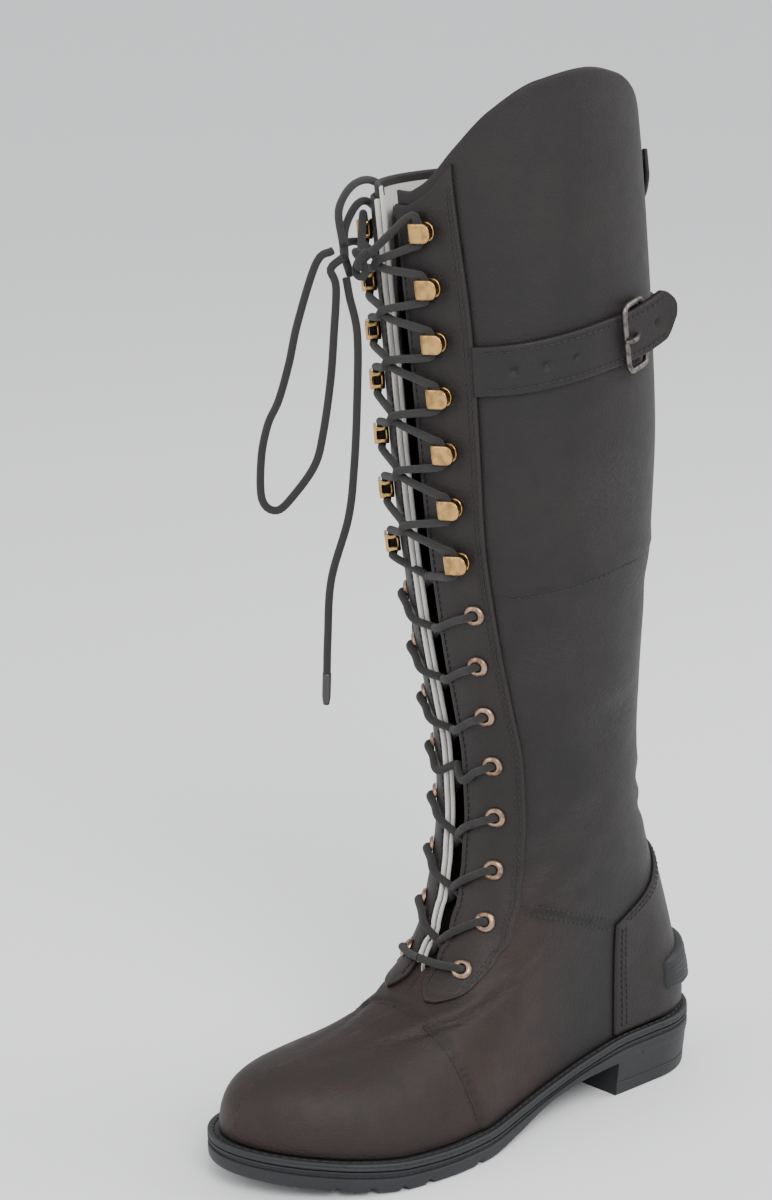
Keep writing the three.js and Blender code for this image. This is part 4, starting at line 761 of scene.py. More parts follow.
def new_object(
    name: str, verts: Points, faces: Iterable, looks: Sequence[bpy.types.Material],
    smooth: bool = True
) -> bpy.types.Object:
    """A mesh object from points in millimetres.

    Args:
        name: the object's name.
        verts: rows of x, y and z.
        faces: rows of vertex numbers.
        looks: its materials.
        smooth: whether its faces are shaded smooth.

    Returns:
        The object.
    """
    mesh = bpy.data.meshes.new(name)
    v = np.asarray(verts, float) * MM
    if isinstance(faces, np.ndarray):
        faces = faces.tolist()
    mesh.from_pydata(v.tolist(), [], list(faces))
    mesh.validate()
    mesh.update()
    if smooth:
        mesh.polygons.foreach_set("use_smooth", [True] * len(mesh.polygons))
    for look in looks:
        mesh.materials.append(look)
    o = bpy.data.objects.new(name, mesh)
    bpy.context.collection.objects.link(o)
    return o


def paint(o: bpy.types.Object, name: str, values: Points) -> None:
    """Paints a value on each vertex."""
    layer = o.data.attributes.new(name, "FLOAT", "POINT")
    layer.data.foreach_set("value", np.asarray(values, np.float32).ravel())


def quads(rows: int, cols: int, start: int = 0, flip: bool = False, closed: bool = False) -> Points:
    """Faces of a grid of points.

    Args:
        rows: rows of points.
        cols: points in a row.
        start: number of its first point.
        flip: whether the faces turn round.
        closed: whether each row closes on itself.

    Returns:
        Rows of four vertex numbers.
    """
    r = np.arange(rows - 1)[:, None]
    c = np.arange(cols if closed else cols - 1)[None, :]
    n = (c + 1) % cols
    f = np.stack(
        np.broadcast_arrays(r * cols + c, r * cols + n, (r + 1) * cols + n, (r + 1) * cols + c), -1
    )
    f = f.reshape(-1, 4) + start
    return f[:, ::-1] if flip else f


def slab(
    name: str, top: Points, bottom: Points, looks: Sequence[bpy.types.Material], flip: bool = False
) -> bpy.types.Object:
    """A closed sheet between two grids of points that meet along their borders.

    Args:
        name: the object's name.
        top: rows, columns and 3.
        bottom: the same.
        looks: its materials; the second is the bottom's.
        flip: whether the faces turn round.

    Returns:
        The object.
    """
    rows, cols = top.shape[:2]
    a = quads(rows, cols, 0, flip)
    b = quads(rows, cols, rows * cols, not flip)
    rim = np.concatenate([
        np.arange(cols), np.arange(1, rows) * cols + cols - 1,
        (rows - 1) * cols + np.arange(cols - 2, -1, -1), np.arange(rows - 2, 0, -1) * cols
    ])
    nxt = np.roll(rim, -1)
    side = np.stack([nxt, rim, rim + rows * cols, nxt + rows * cols], -1)
    side = side[:, ::-1] if flip else side
    o = new_object(
        name, np.concatenate([top.reshape(-1, 3), bottom.reshape(-1, 3)]),
        np.concatenate([a, side, b]), looks
    )
    if len(looks) > 1:
        index = [0] * (len(a) + len(side)) + [1] * len(b)
        if len(index) == len(o.data.polygons):
            o.data.polygons.foreach_set("material_index", index)
    return o


def spaced(count: int, ends: Sequence[float] = (0, 0.12, 0.45, 1)) -> Points:
    """Shares from 0 to 1 with closer steps at both ends; ends are in steps."""
    inner = np.linspace(0, 1, count)
    step = 1 / (count - 1)
    a = np.array(ends[:-1]) * step
    return np.concatenate([a, inner[1:-1], 1 - a[::-1]])


def tube(
    name: str, path: Points, radius: float, look: bpy.types.Material, sides: int = 12,
    taper: Optional[Callable] = None
) -> bpy.types.Object:
    """A round cord along a path, in millimetres.

    Args:
        name: the object's name.
        path: rows of x, y and z.
        radius: the cord's.
        look: its material.
        sides: points round it.
        taper: scales the radius by the share along it.

    Returns:
        The object.
    """
    verts, faces = tube_parts(path, radius, sides, taper)
    return new_object(name, verts, faces, [look])


def tube_parts(
    path: Points, radius: float, sides: int = 12, taper: Optional[Callable] = None
) -> tuple[Points, list]:
    """Vertices and faces of a round cord along a path."""
    p = np.asarray(path, float)
    t = np.gradient(p, axis=0)
    t /= np.linalg.norm(t, axis=1, keepdims=True)
    n = np.cross(t[0], (0.3, 0.5, 0.81))
    n /= np.linalg.norm(n)
    rings = []
    a = 2 * np.pi * np.arange(sides) / sides
    for i, (q, d) in enumerate(zip(p, t)):
        n = n - d * (n @ d)
        n /= np.linalg.norm(n)
        b = np.cross(d, n)
        r = radius * (taper(i / (len(p) - 1)) if taper else 1)
        rings.append(q + r * (np.cos(a)[:, None] * n + np.sin(a)[:, None] * b))
    verts = np.concatenate(rings + [p[:1], p[-1:]])
    faces = quads(len(p), sides, 0, False, True).tolist()
    first, last, base = len(verts) - 2, len(verts) - 1, (len(p) - 1) * sides
    for i in range(sides):
        j = (i + 1) % sides
        faces.append((first, j, i))
        faces.append((last, base + i, base + j))
    return verts, faces


def smooth_path(points: Sequence, step: float = 2.0) -> Points:
    """A smooth path through points, sampled every step millimetres."""
    p = np.asarray(points, float)
    q = np.vstack([2 * p[0] - p[1], p, 2 * p[-1] - p[-2]])
    out = []
    for i in range(1, len(q) - 2):
        a, b, c, d = q[i - 1 : i + 3]
        n = max(2, int(np.linalg.norm(c - b) / step) + 1)
        t = np.linspace(0, 1, n, endpoint=False)[:, None]
        out.append(0.5 * (
            2 * b + (c - a) * t
            + (2 * a - 5 * b + 4 * c - d) * t**2
            + (3 * b - a - 3 * c + d) * t**3
        ))
    return np.vstack(out + [p[-1:]])


def joined(
    name: str, parts: Sequence[tuple[Points, Iterable]], looks: Sequence[bpy.types.Material]
) -> bpy.types.Object:
    """One mesh object from several lots of vertices and faces."""
    verts, faces, base = [], [], 0
    for v, f in parts:
        verts.append(np.asarray(v, float))
        faces.extend(tuple(int(i) + base for i in face) for face in f)
        base += len(v)
    return new_object(name, np.concatenate(verts), faces, looks)


def moved(parts: tuple[Points, list], m: Matrix) -> tuple[Points, list]:
    """Vertices in millimetres moved by a matrix in metres."""
    v, f = parts
    a = np.array(m)
    flip = np.linalg.det(a[:3, :3]) < 0
    v = np.asarray(v, float) @ a[:3, :3].T + a[:3, 3] / MM
    return v, [tuple(face)[::-1] if flip else tuple(face) for face in f]


def keep(o: bpy.types.Object, slot: str, *nodes: str) -> None:
    """Rides a piece on the body and hides the nodes it stands for."""
    if nodes:
        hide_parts(*nodes)
    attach(o, "root")
    LOG.info("%s: %d faces", o.name, len(o.data.polygons) if o.type == "MESH" else 0)


def drop(distance: Points, radius: float) -> Points:
    """How far a rounded edge falls at a distance in from it."""
    d = np.clip(distance, 0, radius)
    return radius - np.sqrt(np.maximum(radius**2 - (radius - d) ** 2, 0))


def off_line(x: Points, z: Points, line: Sequence[tuple[float, float]]) -> Points:
    """Signed distance in side view from a line of x and z, positive above it.

    Args:
        x: places.
        z: heights.
        line: its points, from the toe's side to the back.

    Returns:
        Distances; past the line's ends they grow.
    """
    best = np.full(np.shape(x), 1e9)
    sign = np.ones(np.shape(x))
    for (ax, az), (bx, bz) in zip(line, line[1:]):
        dx, dz = bx - ax, bz - az
        t = np.clip(((x - ax) * dx + (z - az) * dz) / (dx * dx + dz * dz), 0, 1)
        d = np.hypot(x - ax - t * dx, z - az - t * dz)
        side = np.sign(dx * (z - az) - dz * (x - ax))
        near = d < best
        best, sign = np.where(near, d, best), np.where(near, side, sign)
    return best * sign


def on_side(x: float, z: float, side: Side, raised: float) -> Points:
    """The point of the upper's skin seen at x and z from one side."""
    level = max(0.0, min(2.0, (z - 29.5) / 120.5 if z < 150 else 1 + (z - 150) / 278))
    turn = 1.0
    for _ in range(3):
        f, b = float(LAST.front(level)), float(LAST.back(level))
        turn = side.value * math.acos(max(-1, min(1, 1 - 2 * (x - f) / (b - f))))
        level = LAST.level_at(z, turn)
    return LAST.skin(np.array(level), np.array(turn), np.array(raised))


@dataclass(frozen=True)
class Crease:
    """One soft trough with a ridge above it; level and turn in degrees place its middle."""

    level: float
    turn: float
    depth: float
    tall: float
    wide: float
    slant: float = 0.0


CREASES = (
    Crease(0.30, 28, 0.9, 5, 24, 6), Crease(0.34, 40, 0.8, 5, 22, 8), Crease(0.39, 52, 0.7, 6, 20, 9),
    Crease(0.31, -28, 0.8, 5, 24, -6), Crease(0.37, -44, 0.7, 6, 22, -8),
    Crease(0.62, 62, 1.3, 11, 30, 10), Crease(0.78, 48, 1.1, 10, 26, 9), Crease(0.93, 70, 1.2, 12, 34, 7),
    Crease(0.70, -60, 1.2, 11, 30, -8), Crease(0.90, -66, 1.1, 12, 32, -6),
    Crease(0.98, 158, 1.6, 8, 34, -5), Crease(1.05, 172, 1.2, 7, 30, 3), Crease(0.86, 150, 1.1, 8, 28, -7),
    Crease(1.14, 96, 1.0, 13, 40, 5), Crease(1.27, 60, 0.8, 15, 30, 8), Crease(1.34, 130, 0.7, 16, 34, -4),
    Crease(1.52, 84, 0.6, 20, 40, 5), Crease(
        1.12, -110, 0.9, 13, 40, -5
    ), Crease(1.45, -90, 0.6, 18, 44, 4),
)
VAMP_SEAM = tuple((mix(LAST.front_x, LAST.toe, a), r * ANKLE_HEIGHT) for a, r in zip(VAMP_AHEAD, VAMP_RISE))
CROSS_SEAM = ((-97.3, 252.6), (-72.9, 256.3), (-44.4, 260.8), (-12, 263), (16, 264))
QUARTER_SEAM = ((-89.1, 106.3), (-67.6, 98), (-34.6, 84.8))


@dataclass
class Upper:
    """The leather wall: vamp, quarters and shaft with their seams, creases and lining."""

    looks: Finishes
    columns: int = 250
    binding: float = 6.0
    levels: Points = field(default_factory=lambda: np.concatenate([
        np.linspace(0, 0.36, 64, endpoint=False), np.linspace(0.36, 1.1, 74, endpoint=False),
        np.linspace(1.1, 1.985, 84), np.array([1.989, 1.9925, 1.995, 1.997, 1.9985, 1.9995, 2.0]),
    ]))

    def creased(self, level: Points, turn: Points) -> tuple[Points, Points]:
        """Relief and strength of the creases.

        Args:
            level: levels of the points.
            turn: their turns in radians.

        Returns:
            Offset in millimetres, and 0 to 1 where creased.
        """
        relief, strength = np.zeros(level.shape), np.zeros(level.shape)
        degrees = np.degrees((turn + np.pi) % (2 * np.pi) - np.pi)
        height = LAST.height(level)
        for c in CREASES:
            round_ = (degrees - c.turn + 180) % 360 - 180
            up = height - float(LAST.height(c.level)) - c.slant * round_ / c.wide
            along = bump(round_, 0, c.wide)
            relief += along * (-c.depth * np.exp(-((up / (c.tall * 0.5)) ** 2)))
            relief += along * c.depth * 0.6 * np.exp(-(((up - c.tall) / (c.tall * 0.6)) ** 2))
            strength = np.maximum(strength, along * np.exp(-((up / c.tall) ** 2)))
        return relief, strength

    def normal(self, level: Points, turn: Points) -> Points:
        """Outward normals, evened out over the ridge of the toe."""
        n, t = LAST.normal(level, turn), (turn + np.pi) % (2 * np.pi) - np.pi
        reach = 0.2
        a, b = LAST.normal(level, np.full_like(t, -reach)), LAST.normal(level, np.full_like(t, reach))
        share = np.clip((t + reach) / (2 * reach), 0, 1)[..., None]
        even = a + (b - a) * share
        even /= np.maximum(np.linalg.norm(even, axis=-1, keepdims=True), 1e-9)
        return np.where(((np.abs(t) < reach) & (level < THROAT_LEVEL))[..., None], even, n)

    def build(self) -> None:
        """Builds the wall."""
        level = self.levels[:, None]
        half = LAST.open_half(level) * np.clip((level - THROAT_LEVEL) / 0.03, 0, 1)
        start = LAST.turn_across(np.maximum(level, 0.3), half)
        end = LAST.turn_across(np.maximum(level, 0.3), -half) + 2 * np.pi
        closed = level < THROAT_LEVEL
        start, end = np.where(closed, 0, start), np.where(closed, 2 * np.pi, end)
        share = np.concatenate([
            [0, 0.0008, 0.002, 0.004], np.linspace(0.0075, 0.9925, self.columns),
            [0.996, 0.998, 0.9992, 1]
        ])
        turn = start + (end - start) * share[None, :]
        level = np.broadcast_to(level, turn.shape)
        flat = LAST.body(level, turn)
        x, z = flat[..., 0], flat[..., 2]
        relief, strength = self.creased(level, turn)
        vamp = off_line(x, z, VAMP_SEAM)
        ahead = ease(0.5 - vamp / 1.2) if vamp[5, 5] < 0 else ease(0.5 + vamp / 1.2)
        cross, quarter = off_line(x, z, CROSS_SEAM), off_line(x, z, QUARTER_SEAM)
        side = np.abs(np.sin(turn)) > 0.05
        relief = relief - QUARTER_STEP * ahead * (z < 105)
        relief = relief + np.where(side, 0.55 * ease(0.5 + cross / 0.9) * bump(cross, 0, 9), 0)
        relief = relief + np.where(side & (z < 130), -0.5 * bump(quarter, 0, 1.2), 0)
        around = np.minimum(share, 1 - share)[None, :] * (end - start) * 45
        opened = level > THROAT_LEVEL + 0.01
        rim = np.minimum((2 - level) * 278, np.where(opened, around, 99))
        normal = self.normal(level, turn)
        depth = np.where(level < 0.36, 2.1, WALL)
        outer = flat + normal * (relief - drop(rim, 1.1))[..., None]
        inner = flat + normal * (-depth + drop(rim, 1.1) * 0.8 + relief * 0.5 * (rim > 2))[..., None]
        outer[0, :, 2] -= 0.45
        o = slab("upper_leather", outer, inner, [self.looks.shaft, self.looks.lining, self.looks.trim])
        rows, cols = level.shape
        count = (rows - 1) * (cols - 1)
        index = np.array([p.material_index for p in o.data.polygons])
        if len(index) >= 2 * count:
            lining = index[-count:].reshape(rows - 1, cols - 1)
            deep = (2 - level[:-1, :-1]) * 278 < self.binding
            index[-count:] = np.where(deep, 0, lining).ravel()
            rest = index[count:-count]
            edge = slice(cols - 1, cols - 1 + rows - 1)
            rest[edge] = np.where(self.levels[1:] > THROAT_LEVEL, 1, 0)
            faces = index[:count].reshape(rows - 1, cols - 1)
            faces[:, -2:] = np.where(self.levels[1:, None] > THROAT_LEVEL, 1, 0)
            o.data.polygons.foreach_set("material_index", index.astype(np.int32))
        fore = ease((-48 - x) / 55) * ease((150 - z) / 60)
        # painted shade: darker along the seams' grooves and steps
        seam_groove_shade = np.maximum.reduce([
            bump(vamp, 0, 1.6), bump(cross, 0, 1.4) * side, bump(quarter, 0, 1.5) * side * (z < 130)
        ])
        # painted highlight: a lighter patch on the top of the toe box
        toe = bump(z, 60, 34) * ease((-110 - x) / 70)
        both = lambda a: np.concatenate([a.ravel(), a.ravel()])
        paint(o, "warm", both(0.12 + 1.0 * fore))
        # rubbed in the creases and along the rims, plus a painted highlight on the top of the toe
        paint(o, "wear", both(np.clip(strength * 0.55 + toe * 0.45 + bump(rim, 0, 3) * 0.7, 0, 1)))
        # painted shade along the seams and in the bottom 3 mm, where the upper meets the welt
        paint(o, "dark", both(np.clip(seam_groove_shade * 0.8 + ease((3 - (level * 120)) / 3) * 0.6, 0, 1)))
        paint(o, "crease", both(strength))
        weld(o)
        keep(o, "leather", "upper")


def weld(o: bpy.types.Object) -> None:
    """Joins points of a mesh that lie on one spot and turns its faces outwards."""
    b = bmesh.new()
    b.from_mesh(o.data)
    bmesh.ops.remove_doubles(b, verts=b.verts, dist=1e-6)
    bmesh.ops.recalc_face_normals(b, faces=b.faces)
    b.to_mesh(o.data)
    b.free()


@dataclass
class Overlay:
    """A sheet of leather or rubber that lies on the upper, with rounded borders."""

    name: str
    slot: str
    node: str
    look: bpy.types.Material
    base: float
    thickness: float
    rounding: float = 0.8

    def build(
        self, where: Callable, edge: Points, extra: Optional[Points] = None,
        lined: Optional[tuple] = None, **painted: Points
    ) -> bpy.types.Object:
        """Builds it.

        Args:
            where: gives points for a raise in millimetres.
            edge: distance of each point from the border.
            extra: relief to add on top.
            lined: a second material and the points that it covers.
            painted: values for the mesh.

        Returns:
            The object.
        """
        lift = self.base + self.thickness - drop(edge, self.rounding) + (0 if extra is None else extra)
        top, bottom = where(lift), where(np.full(edge.shape, self.base))
        o = slab(self.name, top, bottom, [self.look])
        # edges lighter where rubbed; painted shade darkens the stitch groove 2.6 mm in from the border
        values = {
            "wear": np.clip(bump(edge, 0, 1.6) * 0.5, 0, 1), "dark": bump(edge, 2.6, 0.9) * 0.35
        } | painted
        for key, value in values.items():
            full = np.broadcast_to(value, edge.shape).ravel()
            paint(o, key, np.concatenate([full, full]))
        if lined is not None:
            o.data.materials.append(lined[0])
            mask = np.concatenate([lined[1].ravel(), lined[1].ravel()])
            for face in o.data.polygons:
                if mask[list(face.vertices)].all():
                    face.material_index = 1
        weld(o)
        keep(o, self.slot, self.node)
        return o


class Stitches:
    """Rows of sewing thread, joined in one mesh."""

    def __init__(
        self, name: str, look: bpy.types.Material, pitch: float = 3.1, radius: float = 0.36
    ) -> None:
        """Starts with no row."""
        self.name, self.look, self.pitch, self.radius = name, look, pitch, radius
        self.parts: list[tuple[Points, list]] = []

    def row(self, path: Points) -> None:
        """Adds a row along a path in millimetres."""
        path = np.asarray(path, float)
        if len(path) < 2:
            return
        far = np.concatenate([[0], np.cumsum(np.linalg.norm(np.diff(path, axis=0), axis=1))])
        at = lambda s: np.stack([np.interp(s, far, path[:, k]) for k in range(3)], -1)
        for s in np.arange(self.pitch, far[-1] - self.pitch, self.pitch):
            pts = at(s + np.linspace(0, self.pitch * 0.74, 5))
            self.parts.append(tube_parts(
                pts, self.radius, 6, lambda t: 0.45 + 0.55 * math.sin(math.pi * t) ** 0.5
            ))

    def build(self, slot: str) -> None:
        """Makes the mesh."""
        keep(joined(self.name, self.parts, [self.look]), slot)


@dataclass
class Closure:
    """Facings, eyelets, hooks and laces beside the opening."""

    looks: Finishes
    stitches: Stitches

    def facing(self, side: Side) -> None:
        """Builds one facing and its two rows of stitches."""
        level = np.concatenate([
            [0.372, 0.374, 0.377], np.linspace(0.382, 1.972, 240), [1.976, 1.9785, 1.98]
        ])[:, None]
        v = spaced(22, (0, 0.1, 0.3, 0.6, 1))[None, :]
        near, far = LAST.near(level), LAST.far(level)
        across = LAST.open_half(level) + (near + (far - near) * v) * FACING_WIDTH
        wide = (far - near) * FACING_WIDTH
        edge = np.minimum(
            np.minimum(v * wide, (1 - v) * wide),
            np.minimum((level - 0.372) * 140, (1.98 - level) * 278) + 0 * v
        )
        lv = np.broadcast_to(level, across.shape)
        sheet = Overlay(
            "facing_leather_" + side.name.lower(), "waxed_leather", "facing_" + side.name.lower(),
            self.looks.trim, 0.0, FACE_RAISE
        )
        low = ease((0.9 - lv) / 0.5)
        groove = -0.25 * bump(edge, 2.6, 0.8)
        lined = (self.looks.lining, (v * wide < 1.3) & (lv > 0.45)) if side is Side.INNER else None
        sheet.build(
            lambda r: LAST.spot(lv, side.value * across, r), edge, groove, lined,
            warm=0.25 + 0.6 * low
        )
        for inset in (2.5, 4.4):
            for outer in (True, False):
                if inset > 3 and not outer:
                    continue
                l = np.linspace(0.40, 1.965, 420)
                n, f = LAST.near(l) * FACING_WIDTH + inset, LAST.far(l) * FACING_WIDTH - inset
                self.stitches.row(LAST.spot(
                    l, side.value * (LAST.open_half(l) + (f if outer else n)),
                    np.full_like(l, FACE_RAISE + 0.1)
                ))

    def eyelets(self, side: Side) -> None:
        """Builds the eyelets of one side, with a dark disc in each that stands in for shade inside the
        hole.
        """
        profile = np.array([
            (2.05, -0.6), (2.05, 0.7), (2.3, 1.1), (2.8, 1.32), (3.4, 1.3), (4.0, 1.05),
            (4.5, 0.65), (4.75, 0.2), (4.8, -0.3)
        ])
        n = 28
        a = 2 * np.pi * np.arange(n) / n
        ring = np.stack([
            np.stack([r * np.cos(a), r * np.sin(a), np.full(n, z)], -1) for r, z in profile
        ]).reshape(-1, 3)
        faces = quads(len(profile), n, 0, True, True).tolist()
        # a dark disc as painted shade inside each eyelet's hole
        hole = np.stack([2.1 * np.cos(a), 2.1 * np.sin(a), np.full(n, -0.25)], -1)
        rims, hole_shade_discs = [], []
        for i, level in enumerate(EYELET_LEVELS):
            m = LAST.seat(level, side, float(LAST.inset(level)), FACE_RAISE + GAP + 0.25)
            rims.append(moved((ring, faces), m))
            hole_shade_discs.append(moved((hole, [tuple(range(n))]), m))
        name = side.name.lower()
        keep(
            joined("eyelet_rims_" + name, rims, [self.looks.copper]), "copper",
            *[f"eyelet_{name}_{i + 1}" for i in range(EYELET_COUNT)]
        )
        keep(joined("eyelet_holes_" + name, hole_shade_discs, [self.looks.hard]), "copper")

    def hooks(self, side: Side) -> None:
        """Builds the hooks of one side, each bent from one strip with a window in its neck."""
        low, high, x0, x1 = 0.45, 6.05, -5.45, 6.0
        path = [
            (4.2, low), (1, low), (-3.4, low), (-4.7, 0.75), (-5.35, 1.7), (x0, 3.2), (-5.35, 4.8),
            (-4.7, 5.7), (-3.5, high), (0, high), (x1, high - 0.15)
        ]
        p = smooth_path([(x, 0, z) for x, z in path], 0.42)
        far = np.concatenate([[0], np.cumsum(np.linalg.norm(np.diff(p, axis=0), axis=1))])
        t = np.gradient(p, axis=0)
        t /= np.linalg.norm(t, axis=1, keepdims=True)
        n = np.stack([t[:, 2], 0 * t[:, 0], -t[:, 0]], -1)
        to_ends = np.minimum(far, far[-1] - far)
        half = HOOK_WIDTH / 2 * np.sqrt(np.clip(1 - np.clip(1 - to_ends / 3.4, 0, 1) ** 2, 0.02, 1))
        neck = bump(p[:, 2], 3.3, 3.2) * (p[:, 0] < -3)
        half = half * (1 - 0.1 * neck)
        v = np.linspace(-1, 1, 13)
        mid = p[:, None, :] + np.stack([0 * v, v, 0 * v], -1)[None] * half[:, None, None]
        crown = (1 - v**4)[None, :, None] * 0.12
        top = mid + n[:, None, :] * (-0.5 - crown)
        bottom = mid + n[:, None, :] * 0.5
        rows, cols = len(p), len(v)
        zc = (p[:-1, 2] + p[1:, 2]) / 2
        solid = ~(((np.abs(zc - 3.3) < 1.9) & (p[:-1, 0] < -4))[
            :, None
        ] & (np.abs((v[:-1] + v[1:]) / 2) < 0.52)[None, :])
        faces = []
        base = rows * cols
        number = lambda i, j: i * cols + j
        for i in range(rows - 1):
            for j in range(cols - 1):
                if not solid[i, j]:
                    continue
                q = (number(i, j), number(i, j + 1), number(i + 1, j + 1), number(i + 1, j))
                faces.append(q)
                faces.append(tuple(k + base for k in reversed(q)))
                for (di, dj), e in zip(((-1, 0), (0, 1), (1, 0), (0, -1)), zip(q, q[1:] + q[:1])):
                    a, b = i + di, j + dj
                    if not (0 <= a < rows - 1 and 0 <= b < cols - 1) or not solid[a, b]:
                        faces.append((e[1], e[0], e[0] + base, e[1] + base))
        body = (np.concatenate([top.reshape(-1, 3), bottom.reshape(-1, 3)]), faces)
        parts = []
        for level in HOOK_LEVELS:
            parts.append(moved(
                body, LAST.seat(level, side, float(LAST.inset(level)) - HOOK_SET, FACE_RAISE + GAP)
            ))
        name = side.name.lower()
        o = joined("lace_hooks_" + name, parts, [self.looks.brass])
        weld(o)
        keep(o, "brass", *[f"hook_{name}_{i + 1}" for i in range(HOOK_COUNT)])

    def strand(self, first: int) -> Points:
        """Path of one lace, which changes sides at each row.

        Args:
            first: 1 if it starts on the outer side, -1 on the inner.

        Returns:
            Rows of points in millimetres.
        """
        radius = LACE_DIAMETER / 2
        over, under = FACE_RAISE + radius + 0.25, -(WALL + radius + 0.5)
        out: list[Points] = []
        spot = lambda level, across, raised: out.append(LAST.spot(
            np.array(level), np.array(across), np.array(raised)
        ))
        side = first
        for i, level in enumerate(EYELET_LEVELS):
            half, inset = float(LAST.open_half(level)), float(LAST.inset(level))
            up = lambda mm, l=level: LAST.level_up(l, mm)
            if i:
                spot(up(-8), side * (half + 3), over + 0.3)
                spot(up(-3.5), side * (half + inset * 0.55), over)
            else:
                spot(up(0), 0, over + 1.6)
                spot(up(0), side * (half + 4), over + 0.3)
            spot(up(-0.4), side * (half + inset - 2.2), over + 1.1)
            spot(level, side * (half + inset - 0.2), FACE_RAISE + 0.6)
            spot(level, side * (half + inset + 0.3), -1.2)
            spot(up(3), side * (half + inset * 0.6), under)
            spot(up(8), side * (half + 1.5), under)
            spot(up(12.5), side * half * 0.15, under * 0.25)
            side = -side
        neck, behind = -HOOK_LENGTH / 2, -HOOK_LENGTH / 2 + 1.1 + radius + 0.9
        beside, mouth = HOOK_WIDTH / 2 + radius + 0.4, 3.2
        for i, level in enumerate(HOOK_LEVELS):
            m = LAST.seat(level, Side(side), float(LAST.inset(level)) - HOOK_SET, FACE_RAISE + GAP)
            for x, y in (
                (neck - 0.6, -beside), (behind, -HOOK_WIDTH * 0.58), (behind + 0.5, 0),
                (behind, HOOK_WIDTH * 0.58), (neck - 0.6, beside)
            ):
                out.append(np.array(m @ (Vector((x, y, mouth)) * MM)) / MM)
            if i < HOOK_COUNT - 1:
                start, rise = LAST.level_up(level, beside), HOOK_PITCH - 2 * beside
                half, sag = float(LAST.open_half(level)), 2.6 + (1.6 if side < 0 else 0)
                for share in (0.33, 0.67):
                    spot(LAST.level_up(start, rise * share), side * (1 - 2 * share) * half, over + sag)
            side = -side
        return np.array(out)

    def laces(self) -> None:
        """Builds the crossings and the knot, and the free loops and ends."""
        radius = LACE_DIAMETER / 2
        knot = np.array(KNOT)
        parts = []
        for first in (1, -1):
            p = self.strand(first)
            away = p[-1] - knot
            p = np.vstack([p, knot + away / np.linalg.norm(away) * 3])
            parts.append(tube_parts(smooth_path(p, 1.3), radius, 12))
        keep(joined("lace_strands", parts, [self.looks.lace]), "cord", "lace_crossings")
        t = np.linspace(0, 2 * np.pi, 90)
        x = (np.sin(t) + 2 * np.sin(2 * t)) * 1.9
        y = (np.cos(t) - 2 * np.cos(2 * t)) * 2.1
        z = -np.sin(3 * t) * 2.0
        turned = np.stack([0.45 * x - 0.85 * z, 0.75 * x + 0.35 * z, y], -1)
        keep(tube("lace_bow_knot", knot + turned, radius, self.looks.lace), "cord", "lace_knot")
        for name, rows, tip in FREE_CORDS:
            self.free(name, np.array([(knot[0] - f, knot[1] + s, knot[2] + r) for f, s, r in rows]), tip)

    def free(self, name: str, points: Points, tip: str) -> None:
        """Builds one free cord, with its tip if it has one."""
        path = smooth_path(points, 2.0)
        o = tube(name + "_braid", path, LACE_DIAMETER / 2, self.looks.lace, 12)
        keep(o, "cord", name)
        if tip:
            way = points[-1] - points[-2]
            way /= np.linalg.norm(way)
            ends = points[-1] + way[None, :] * np.linspace(-0.5, 14, 12)[:, None]
            a = tube(
                tip + "_tip", ends, 2.0, self.looks.hard, 16,
                lambda s: 1 - 0.28 * max(0, s - 0.75) / 0.25
            )
            keep(a, "aglet", tip)

    def build(self) -> None:
        """Builds everything beside the opening."""
        for side in Side:
            self.facing(side)
            self.eyelets(side)
            self.hooks(side)
        self.laces()


KNOT = (-130.1, 26.6, 397.3)
END_OUTER = (
    (4, 5, -7), (5.2, 1.7, -14.6), (4, -1.6, -31.1), (4.5, -1.1, -61.1), (6, -0.1, -89.1),
    (8.2, 1.9, -112.1), (14.2, 7.4, -140.1), (15.7, 8.9, -167.1), (16.2, 9.4, -183.1)
)
LOOP_OUTER = (
    (6, 5, 2), (10.9, 7.2, -2.6), (10.4, 4.4, -10.1), (11.4, 5.4, -31.1), (13, 6.4, -51.1),
    (15.7, 8.9, -74.1), (18.7, 11.4, -88.1), (25.7, 17.4, -101.1), (31.7, 22.4, -108.1),
    (36.7, 26.4, -103.1), (36.2, 26.9, -85.1), (33.7, 24.9, -70.1), (30, 21.4, -59.1),
    (26.2, 18.4, -43.1), (23.2, 15.4, -25.1), (15.4, 11.2, 0.4), (8, 9, 5)
)
LOOP_INNER = (
    (2, 8, 1), (-6.1, 16.7, 12.4), (-22.3, 26.4, 20.9), (-42.3, 39.4, 16.9), (-56.3, 43.4, 0.9),
    (-62.3, 42.4, -31.1), (-64.3, 40.4, -76.1), (-69.3, 39.4, -91.1), (-74.3, 39.4, -79.1),
    (-75.3, 41.4, -36.1), (-70.3, 44.4, 2.9), (-50.3, 43.4, 24.9), (-26.3, 32.4, 28.9),
    (-7.1, 21.7, 20.4), (1, 10, 6)
)
END_INNER = (
    (0, 7, -6), (-6, 18, 2), (-21, 33, 3), (-40, 43, -1), (-54, 41, -17), (-56.3, 39.4, -51.1),
    (-57.3, 37.4, -91.1), (-56.3, 34.4, -131.1), (-56.3, 31.4, -166.1), (-56.3, 30.4, -179.1)
)
FREE_CORDS = (
    ("lace_loop_outer", LOOP_OUTER, ""),
    ("lace_loop_inner", LOOP_INNER, ""),
    ("lace_end_outer", END_OUTER, "aglet_outer"),
    ("lace_end_inner", END_INNER, "aglet_inner"),
)


